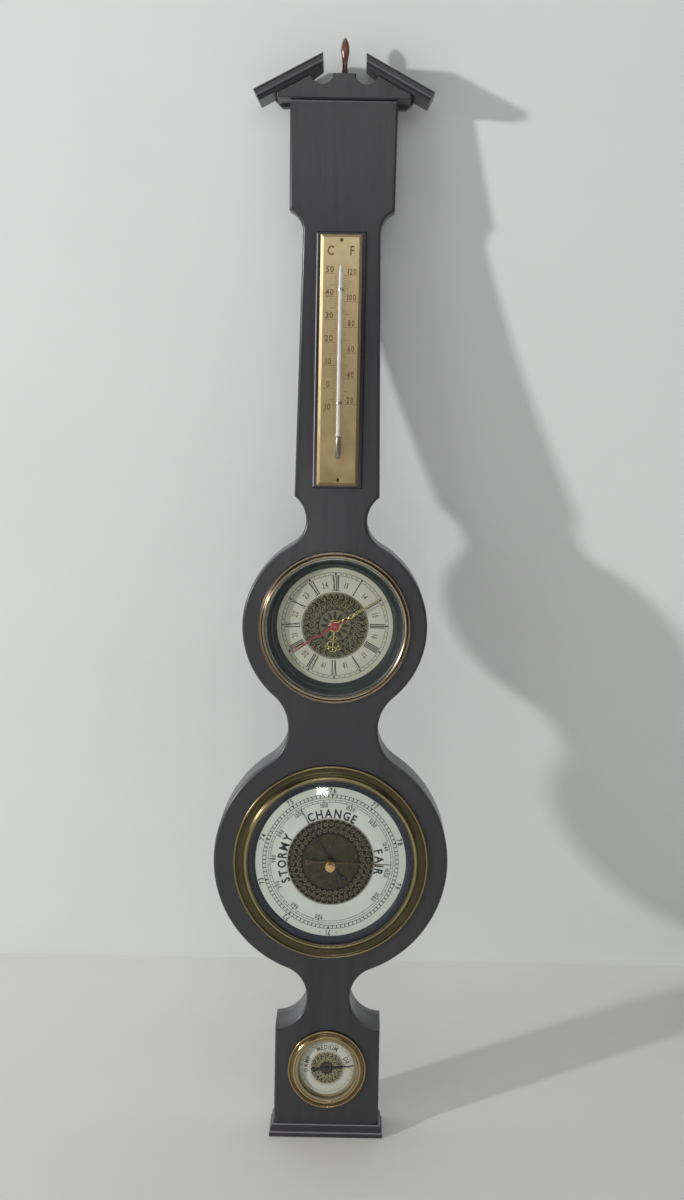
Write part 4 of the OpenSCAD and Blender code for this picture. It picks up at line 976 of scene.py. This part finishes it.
def silver_liquid():
    """Silvery liquid in the bulb and the bore."""
    t = Tree("silver_liquid")
    cloud = t.noise(t.place, 120, 2)
    return t.shade(Base_Color=t.mix(cloud, (128, 122, 104), (160, 154, 134)),
                   Metallic=0.9, Roughness=t.spread(cloud, 0.3, 0.7, 0.16, 0.24))


tube_glass()
silver_liquid()
make("tube_glass", upright(glass_profile, TUBE_Z, 40), "clear_glass", "tube_glass",
     "thermometer_tube", 60)
make("tube_liquid", upright(liquid_profile, TUBE_Z, 32), "silver_liquid", "silver_liquid",
     "thermometer_column", 60)
print("thermometer made")

# %% [markdown]
# Each bezel is one turned moulding: a flat foot, a hollow, and a bead round the glass.
# The profile's points are joined by a smooth curve before turning. The domed glasses
# are parts of a sphere, z = rise - s + sqrt(s^2 - r^2), with a thickness of their own.
# %% Bezels and glasses


def bezel(node, finish, front, back):
    """A turned ring: a smooth front from its foot to its lip and a stepped back.

    Points are (inward from the outer radius, out from the board's face)."""
    high = face_box(node)[1]
    rim, out = [outer_r(node), BOARD_Z], [-1, 1]
    curve = np.minimum(smooth_curve(np.array(front) * out + rim), high[[0, 2]])
    ring = np.concatenate([curve, np.array(back) * out + rim])
    make(node + "_turned", lathe(ring, centre_y(node), 224), "aged_brass", finish, node, 40)


bezel("clock_bezel", "clock_brass",
      [(0, 0), (0, 1.1), (0.35, 1.75), (0.9, 1.9), (1.5, 1.8), (2.1, 1.9), (2.8, 2.35),
       (3.4, 3.15), (4.2, 3.6), (5, 3.3), (5.5, 2.95), (6, 2.85)],
      [(6, 2.2), (4, 2.15), (4, 0.65), (2.3, 0.65), (2.3, 0)])
bezel("barometer_bezel", "barometer_brass",
      [(0, 0), (0, 1.4), (0.3, 2.05), (1.1, 2.35), (2, 2.2), (2.6, 1.95), (4, 1.7),
       (6.2, 1.75), (8.1, 2.3), (8.9, 2.75), (9.6, 3.35), (10.6, 3.7), (11.5, 3.5),
       (12.2, 3.25), (12.9, 3.2), (13.5, 3.25)],
      [(13.5, 2.85), (11.2, 2.5), (11.2, 0.85), (9.8, 0.85), (9.8, 0)])
bezel("hygrometer_bezel", "hygrometer_brass",
      [(0, 0), (0, 1.2), (0.3, 1.8), (0.9, 2), (1.6, 1.85), (2.4, 1.75), (3.4, 2),
       (4.4, 2.75), (5.4, 3.2), (6.4, 3.1), (7.4, 2.85), (8.3, 2.7), (9, 2.65)],
      [(9, 2.2), (5.6, 1.8), (5.6, 0.55), (3.6, 0.55), (3.6, 0)])


def glass_dome(node, rise, thick, hole):
    """A domed glass as thick all over, with a hole in its middle or none."""
    low, edge = face_box(node)[0], outer_r(node)
    s = (edge ** 2 + rise ** 2) / (2 * rise)
    r = np.linspace(hole, edge, 40)
    inner = np.stack([r, low[2] + rise - s + np.sqrt(s ** 2 - r ** 2)], axis=1)
    profile = np.concatenate([inner, inner[::-1] + [0, thick]])
    turn = lathe if hole else dome
    make(node + "_dome", turn(profile, centre_y(node), 160), "clear_glass", "clear_glass",
         node, 40)


pane_low, pane_high = face_box("clock_glass")
pane_r, pane_z0, pane_z1 = outer_r("clock_glass"), pane_low[2], pane_high[2]
make("clock_glass_disc",
     dome([(0, pane_z0), (pane_r - 0.2, pane_z0), (pane_r, pane_z0 + 0.2),
           (pane_r, pane_z1 - 0.2), (pane_r - 0.2, pane_z1), (0, pane_z1)], CLOCK_Y, 160),
     "clear_glass", "clear_glass", "clock_glass")
glass_dome("barometer_glass", 6, 1.6, 1.26)
glass_dome("hygrometer_glass", 1.8, 1.2, 0)
bead = np.array([(-0.12, -0.5), (0, 0.02), (0.35, 0.16), (0.7, 0.02), (0.6, -0.3)])
make("clock_well_bead", lathe(bead + [outer_r("clock_dial") + 3.3, CLOCK.z + 6.4], CLOCK_Y),
     "aged_brass", "plain_steel")
print("bezels and glasses made")

# %% [markdown]
# The centre of each dial carries a disc of pressed scrollwork. Every scroll is one
# spiral, r = R (1 - 0.86 t), traced by a thin half-round strip; rows of scrolls, small
# rings and a sunburst of petals are repeats of one shape about the dial's centre.
# %% Scrollwork


def scroll_disc(name, dial, disc, ground, gold, band, size, width):
    """A thin ground plate with rows of scrolls and small rings that fill a band of it."""
    (r_in, r_out), (r0, r1) = disc, band
    make(name + "_ground", dial.ring(r_in, r_out, 0, 0.2), "aged_brass", ground)
    parts = [dial.ring(r_out - 0.5, r_out, 0.18, 0.42)]
    rows = int((r1 - r0) / (2 * size))
    pitch = (r1 - r0) / rows
    for i in range(rows):
        r = r0 + pitch * (i + 0.5)
        n = int(2 * math.pi * r / (2.25 * size) / 2) * 2
        parts.append(dial.scrolls(r, size, n, width, 1 - 2 * (i % 2), 0.7 * i))
        parts.append(dial.small_rings(r + pitch / 2 - 0.2, size * 0.32, n, width * 0.7))
    make(name + "_scrolls", join(parts), "aged_brass", gold, sharp=50)


scroll_disc("clock_centre", CLOCK, (4.2, 29), "filigree_ground", "filigree_scrolls",
            (14.2, 28.2), 2.3, 0.75)
make("clock_sunburst", join([CLOCK.petals(4.6, 13.2, 2.7, 12, 0.3, 0.5),
                             CLOCK.ring(4.2, 5.6, 0.3, 0.5)]),
     "black_metal", "sunburst_petals")
make("clock_sunburst_ground", CLOCK.ring(4.2, 14, 0.15, 0.34), "aged_brass",
     "sunburst_ground")
scroll_disc("barometer_centre", BARO, (2.3, 38.2), "barometer_ground", "barometer_scrolls",
            (24.2, 37.2), 2.2, 0.8)
make("barometer_centre_plate", BARO.ring(2.3, 24.4, 0.15, 0.32), "dark_metal",
     "centre_plate", sharp=30)
scroll_disc("hygrometer_centre", HYGRO, (1.2, 14.7), "hygrometer_ground",
            "hygrometer_scrolls", (5, 14.2), 1.5, 0.55)
make("hygrometer_sunburst", join([HYGRO.petals(1.4, 4.6, 1, 12, 0.15, 0.5),
                                  HYGRO.ring(1.2, 2.4, 0.15, 0.5)]),
     "black_metal", "olive_petals")
print("scrollwork made")

# %% [markdown]
# The prints follow the scales: 60 minutes round the clock, 36 degrees to a centimetre
# of mercury and 27 degrees to ten hectopascals round the barometer. The two barometer
# scales share their zero, so a pressure is the same angle on both.
# %% Printed dials


def show_print(name, parts, ink):
    """Printed parts of a dial as one piece."""
    make(name, join(parts), "black_metal", ink, sharp=30)


numerals = "XII I II III IIII V VI VII VIII IX X XI".split()
show_print("clock_print", [
    CLOCK.ring(46.9, 47.3), CLOCK.ring(44.4, 44.75),
    CLOCK.dots(np.arange(60) * 6, 45.8, 0.95), CLOCK.dots(np.arange(12) * 30, 45.8, 2.2, 4),
    CLOCK.ring(29.3, 29.7)] + [
    prisms(around(roman(name) * [5.3, 13], 30 * i, CLOCK.y, 30.8), CLOCK.z, CLOCK.z + PRINT)
    for i, name in enumerate(numerals)], "black_ink")
show_print("clock_small_print", [CLOCK.word(str(13 + i), 15 + 30 * i, 34.2, 5, 0.62)
                                 for i in range(12)], "brown_ink")

CM_76, CM_STEP = 1.0, 36.0
HPA_1010, HPA_STEP = -7.3, 2.7


def barometer_print():
    """Centimetres of mercury outside, hectopascals inside and the weather words."""
    parts = [BARO.ring(*radii)
             for radii in ((56.9, 57.3), (59.7, 60.1), (53, 53.35), (55, 55.35))]
    parts.append(BARO.ticks(np.arange(-180, 180, 3.6) + CM_76, 57.1, 60, 0.8))
    cm = np.arange(71, 80)
    angles = CM_76 + (cm - 76) * CM_STEP
    parts.append(BARO.plates([(-1.1, 60.3), (0, 56.6), (1.1, 60.3)], angles))
    parts += [BARO.word(str(value), angle, 61.2, 4.7, 0.74, 0.2)
              for value, angle in zip(cm, angles)]
    parts.append(BARO.ticks([angles[0] - 6.5, angles[0] + 6.5], 63.3, 63.8, 1.6))
    for value in range(950, 1061, 10):
        angle = HPA_1010 + (value - 1010) * HPA_STEP
        parts.append(BARO.word(str(value), angle, 48.6, 3.8, 0.72))
        parts.append(BARO.ticks([angle], 52.3, 54.9, 0.5))
    steps = HPA_1010 + np.arange(-60, 51, 2) * HPA_STEP
    parts.append(BARO.ticks(steps, 53.1, 55.1, 0.3))
    parts += [BARO.word(word, angle, 39.4, 7.5, 0.86, 0.24)
              for word, angle in (("STORMY", -87), ("CHANGE", 1), ("FAIR", 90))]
    return parts + [BARO.ring(38.7, 38.95)]


show_print("barometer_print", barometer_print(), "black_ink")
show_print("hygrometer_print", [HYGRO.ring(15.6, 15.8)] + [
    HYGRO.word(word, angle, 16.6, 4, 0.8, 0.2)
    for word, angle in (("DAMP", -80), ("MEDIUM", 0), ("DRY", 76))], "brown_ink")
show_print("hygrometer_scale", [
    HYGRO.ring(21.6, 21.75), HYGRO.ring(24.3, 24.5),
    HYGRO.ticks(np.arange(-120, 121, 12), 21.7, 24.4, 0.4),
    HYGRO.ticks(np.arange(-120, 121, 2.4), 23, 24.4, 0.16)], "brown_ink")
print("dials printed")

# %% [markdown]
# Hands are thin strips with a domed top, so they catch a line of light. The clock's
# hands wind: their path is a sine whose sway fades towards the tip. Each hand is drawn
# pointing up and is then turned to its reading, on the body that carries it.
# %% Hands


def winding(section, y0, y1, w0, w1, steps, sway=0.0, waves=1.0):
    """A strip from one height to another, tapering from one width to another."""
    t = np.linspace(0, 1, steps)
    path = np.stack([sway * (1 - 0.6 * t) * np.sin(2 * np.pi * waves * t),
                     y0 + (y1 - y0) * t], axis=1)
    return ribbons(path[None], np.linspace(w0, w1, steps), section)


def eye(section, x, y, r, width):
    """A ring in a hand."""
    a = np.linspace(0, 2 * np.pi, 33)
    return ribbons(np.stack([x + r * np.cos(a), y + r * np.sin(a)], axis=1)[None], width,
                   section)


def hand(node, y, angle, slot, finish, hub, windings, eyes=()):
    """A hand with a hub of (radius, bore), its strips and its rings, turned by an angle."""
    z0, z1 = (corner[2] for corner in face_box(node))
    (r, bore), chamfer = hub, (z1 - z0) * 0.4
    section = round_section(z0, z1)
    points, faces = join(
        [lathe([(bore, z0), (r, z0), (r, z1 - chamfer), (r - chamfer, z1), (bore, z1)], 0, 64)]
        + [winding(section, *values) for values in windings]
        + [eye(section, *values) for values in eyes])
    points = at_height(around(points[:, :2], angle, y), points[:, 2])
    make(node + "_formed", (points, faces), slot, finish, node, 50, node)


hand("minute_hand", CLOCK_Y, 57.6, "gold_metal", "hand_brass", (3.3, 1.3),
     [(3, 31, 1.3, 0.9, 48, 1.9, 2.5), (3, 31, 1.3, 0.9, 48, -1.9, 2.5),
      (30.6, 49, 1.3, 0.5, 6)])
hand("hour_hand", CLOCK_Y, 184.8, "gold_metal", "hand_brass", (4, 2.1),
     [(3.6, 9, 2, 1.5, 4), (8, 25.6, 1.6, 0.5, 6)],
     [(side * x, y, r, 0.9) for side in (-1, 1)
      for x, y, r in ((1.5, 10.6, 1.65), (2.3, 16.3, 2.5), (5.2, 19.3, 1.55),
                      (1.6, 20.9, 1.75))])
hand("second_hand", CLOCK_Y, 240, "red_metal", "red_lacquer", (3.9, 0.6),
     [(3.6, 46, 1.9, 0.7, 64, 1, 3), (-3.4, -13.6, 1.1, 0.9, 24, 0.6)])
hand("set_hand", BARO_Y, 91, "gold_metal", "dull_brass", (3, 1.2),
     [(2.6, 54, 1.2, 0.7, 8), (-2.6, -17.6, 1.2, 1.6, 6)], [(0, -19.4, 1.85, 1.1)])
print("hands made")

# %% [markdown]
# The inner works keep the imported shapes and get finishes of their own: each node's
# material follows what it is made of, from plated steel and brass to the battery's
# sleeve, the coil's copper winding and the circuit board's tracks.
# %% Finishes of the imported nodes


def battery_sleeve():
    """A plain sleeve with one band, and bare steel at both ends."""
    t = Tree("battery_sleeve")
    x = t.part(t.place, 0)
    band_x, end_x = 0.0145, 0.0232
    scuffs = t.noise(t.place, 300, 4)
    end = t.math("GREATER_THAN", t.math("ABSOLUTE", x), end_x)
    colour = t.mix(t.math("GREATER_THAN", x, band_x), (58, 96, 74), (196, 170, 110))
    colour = t.mix(t.spread(scuffs, 0.6, 0.75, 0, 0.4), colour, (150, 150, 140))
    return t.shade(Base_Color=t.mix(end, colour, (178, 178, 174)),
                   Metallic=t.math("MULTIPLY", end, 0.9),
                   Roughness=t.spread(scuffs, 0.3, 0.7, 0.26, 0.4))


def copper_winding():
    """Copper wire wound side by side: a sine along the coil paints each turn lighter on its
    crest, with painted shade in the groove between turns.
    """
    t = Tree("copper_winding")
    wire = 0.00025
    wave = t.math("SINE", t.math("MULTIPLY", t.part(t.place, 0), 2 * math.pi / wire))
    tone = t.spread(wave, -1, 1, 0.0, 1.0)
    return t.shade(Base_Color=t.mix(tone, (96, 48, 26), (206, 116, 66)), Metallic=0.8,
                   Roughness=t.spread(tone, 0, 1, 0.45, 0.25),
                   Normal=t.bump(tone, 0.00006, 0.8))


def green_circuit_board():
    """Green solder mask over copper tracks, with tinned pads."""
    t = Tree("green_circuit_board")
    tracks = t.add("TexVoronoi", {"Vector": t.place, "Scale": 420.0},
                   feature="DISTANCE_TO_EDGE", distance="MANHATTAN").outputs[0]
    pads = t.add("TexVoronoi", {"Vector": t.place, "Scale": 260.0}).outputs["Distance"]
    colour = t.mix(t.spread(tracks, 0.02, 0.06), (58, 124, 84), (34, 84, 56))
    colour = t.mix(t.math("LESS_THAN", pads, 0.16), colour, (190, 188, 180))
    return t.shade(Base_Color=colour, Roughness=t.spread(tracks, 0, 0.2, 0.3, 0.42))


def iron_laminations():
    """Stacked soft-iron sheets: fine lines along their edges."""
    t = Tree("iron_laminations")
    thickness = 0.0003
    lines = t.math("SINE", t.math("MULTIPLY", t.part(t.place, 1), 2 * math.pi / thickness))
    cloud = t.noise(t.place, 120, 3)
    return t.shade(Base_Color=t.mix(cloud, (112, 114, 120), (150, 152, 156)),
                   Metallic=0.9, Roughness=t.spread(lines, -1, 1, 0.3, 0.45),
                   Normal=t.bump(lines, 0.00003, 0.5))


battery_sleeve()
copper_winding()
green_circuit_board()
iron_laminations()
FINISHES = {
    "painted_lit_back_wood": "back_board",
    "plate_brass": "thermometer_plate",
    "knob_brass": "set_knob centre_nut",
    "clip_silver": "tube_clips",
    "plain_steel": "hanger_screws clock_cup hygrometer_case",
    "navy_paint": "barometer_case",
    "inner_brass": "hanger_plate intermediate_wheel second_wheel third_wheel centre_wheel "
                   "cannon_pinion main_lever mechanism_frame adjusting_screw",
    "pin_bronze": "plate_pins",
    "well_paint": "clock_well",
    "clock_card": "clock_dial",
    "barometer_card": "barometer_dial",
    "hygrometer_card": "hygrometer_dial",
    "black_plastic": "movement_case setting_knob",
    "cover_plastic": "movement_cover",
    "white_plastic": "motion_wheel hour_wheel",
    "dark_steel": "rotor rocking_shaft pointer_arbor main_spring",
    "blued_spring": "hairspring",
    "nickel_silver": "capsule",
    "bronze_strip": "humidity_coil",
    "black_lacquer": "barometer_pointer hygrometer_hand",
    "battery_sleeve": "battery",
    "copper_winding": "drive_coil",
    "green_circuit_board": "circuit_board",
    "iron_laminations": "stator"}
for finish, names in FINISHES.items():
    for name in names.split():
        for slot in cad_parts[name].material_slots:
            slot.material = finishes[finish]
print(len(FINISHES), "finishes on packed nodes")

# %% [markdown]
# The stage is a pale sheet hanging behind the case and a pale floor. The sheet only
# shows from its front, so that views from behind see the back of the case. One window
# on the left throws the sharp shadow; the others are soft and weak.
# %% Stage, lamps and camera


def stage_sheet(name, line, colour, one_sided):
    """A matt sheet 5 m wide along a line of (y, z), see-through from behind or not."""
    t = Tree(name + "_paint")
    mottle = t.spread(t.noise(t.place, 6, 3), 0.3, 0.7)
    tone = t.mix(mottle, colour, tuple(c - 3 for c in colour))
    matt = t.add("BsdfDiffuse", {"Color": tone}).outputs[0]
    if one_sided:
        behind = t.add("NewGeometry").outputs["Backfacing"]
        t.blend(behind, matt, t.add("BsdfTransparent").outputs[0])
    else:
        t.finish(matt)
    mesh = bpy.data.meshes.new(name)
    y, z = np.repeat(line, 2, axis=0).T
    points = np.stack([np.tile([2.5, -2.5], len(line)), y, z], axis=1)
    mesh.from_pydata(points.tolist(), [], grid_faces(len(line), 2, False, False))
    mesh.polygons.foreach_set("use_smooth", [True] * len(mesh.polygons))
    mesh.materials.append(t.material)
    in_scene(name, mesh)


# The sheet's distance behind the case is a parabola of the height below its fixing
FIXING, SHEET_TOP = 0.9, 1.7
height = np.append(np.linspace(0, FIXING, 46), SHEET_TOP)
below = FIXING - height
gap = 0.01 + 0.11 * below + 0.22 * np.maximum(below, 0) ** 2
backdrop = np.stack([gap, height + FOOT], axis=1)
stage_sheet("floor", [(-2.5, FOOT), backdrop[0]], (244, 243, 241), False)
stage_sheet("wall", backdrop, (236, 238, 237), True)

world = bpy.data.worlds.new("room")
world.use_nodes = True
background = world.node_tree.nodes["Background"]
background.inputs[0].default_value = rgb((206, 207, 208))
background.inputs[1].default_value = 0.23
bpy.context.scene.world = world

MIDDLE = Vector((0, 0, -0.4))
for name, place, size, power in (
        ("window_left", (-4.4, -2.45, 0.3), (0.2, 0.28), 148),
        ("window_wide", (-2.2, -2.4, 0.0), (0.7, 1.4), 5),
        ("sky_front", (0.2, -2.5, 0.75), (2.4, 0.9), 9),
        ("sky_above", (-0.3, -0.8, 1.6), (1.2, 0.8), 3),
        ("low_lamp", (-0.32, -5.0, -0.88), (0.26, 0.18), 4.8),
        ("fill_right", (1.5, -1.3, -0.3), (0.6, 1.0), 1)):
    light = bpy.data.lights.new(name, "AREA")
    light.shape = "RECTANGLE"
    light.size, light.size_y = size
    light.energy = power
    lamp = in_scene(name, light)
    lamp.location = place
    lamp.rotation_euler = (MIDDLE - lamp.location).to_track_quat("-Z", "Y").to_euler()

FOCAL_PX, FRAME_W, FRAME_H = 1162.835, 684, 1200
CENTRE_PX = (361.24, 425.60)
EYE = (0.01995, -1.04167, FOOT + 0.66728)
SENSOR = 24
PITCH, ROLL = -2.0, 1.0723
lens = bpy.data.cameras.new("camera")
lens.sensor_fit = "VERTICAL"
lens.sensor_height = SENSOR
lens.lens = SENSOR * FOCAL_PX / FRAME_H
lens.shift_x = (FRAME_W / 2 - CENTRE_PX[0]) / FRAME_H
lens.shift_y = (CENTRE_PX[1] - FRAME_H / 2) / FRAME_H
camera = in_scene("camera", lens)
camera.location = EYE
camera.rotation_euler = (Matrix.Rotation(math.radians(90 + PITCH), 3, "X")
                         @ Matrix.Rotation(math.radians(ROLL), 3, "Z")).to_euler()
bpy.context.scene.camera = camera
bpy.context.scene.view_settings.view_transform = "Standard"
print("stage ready")
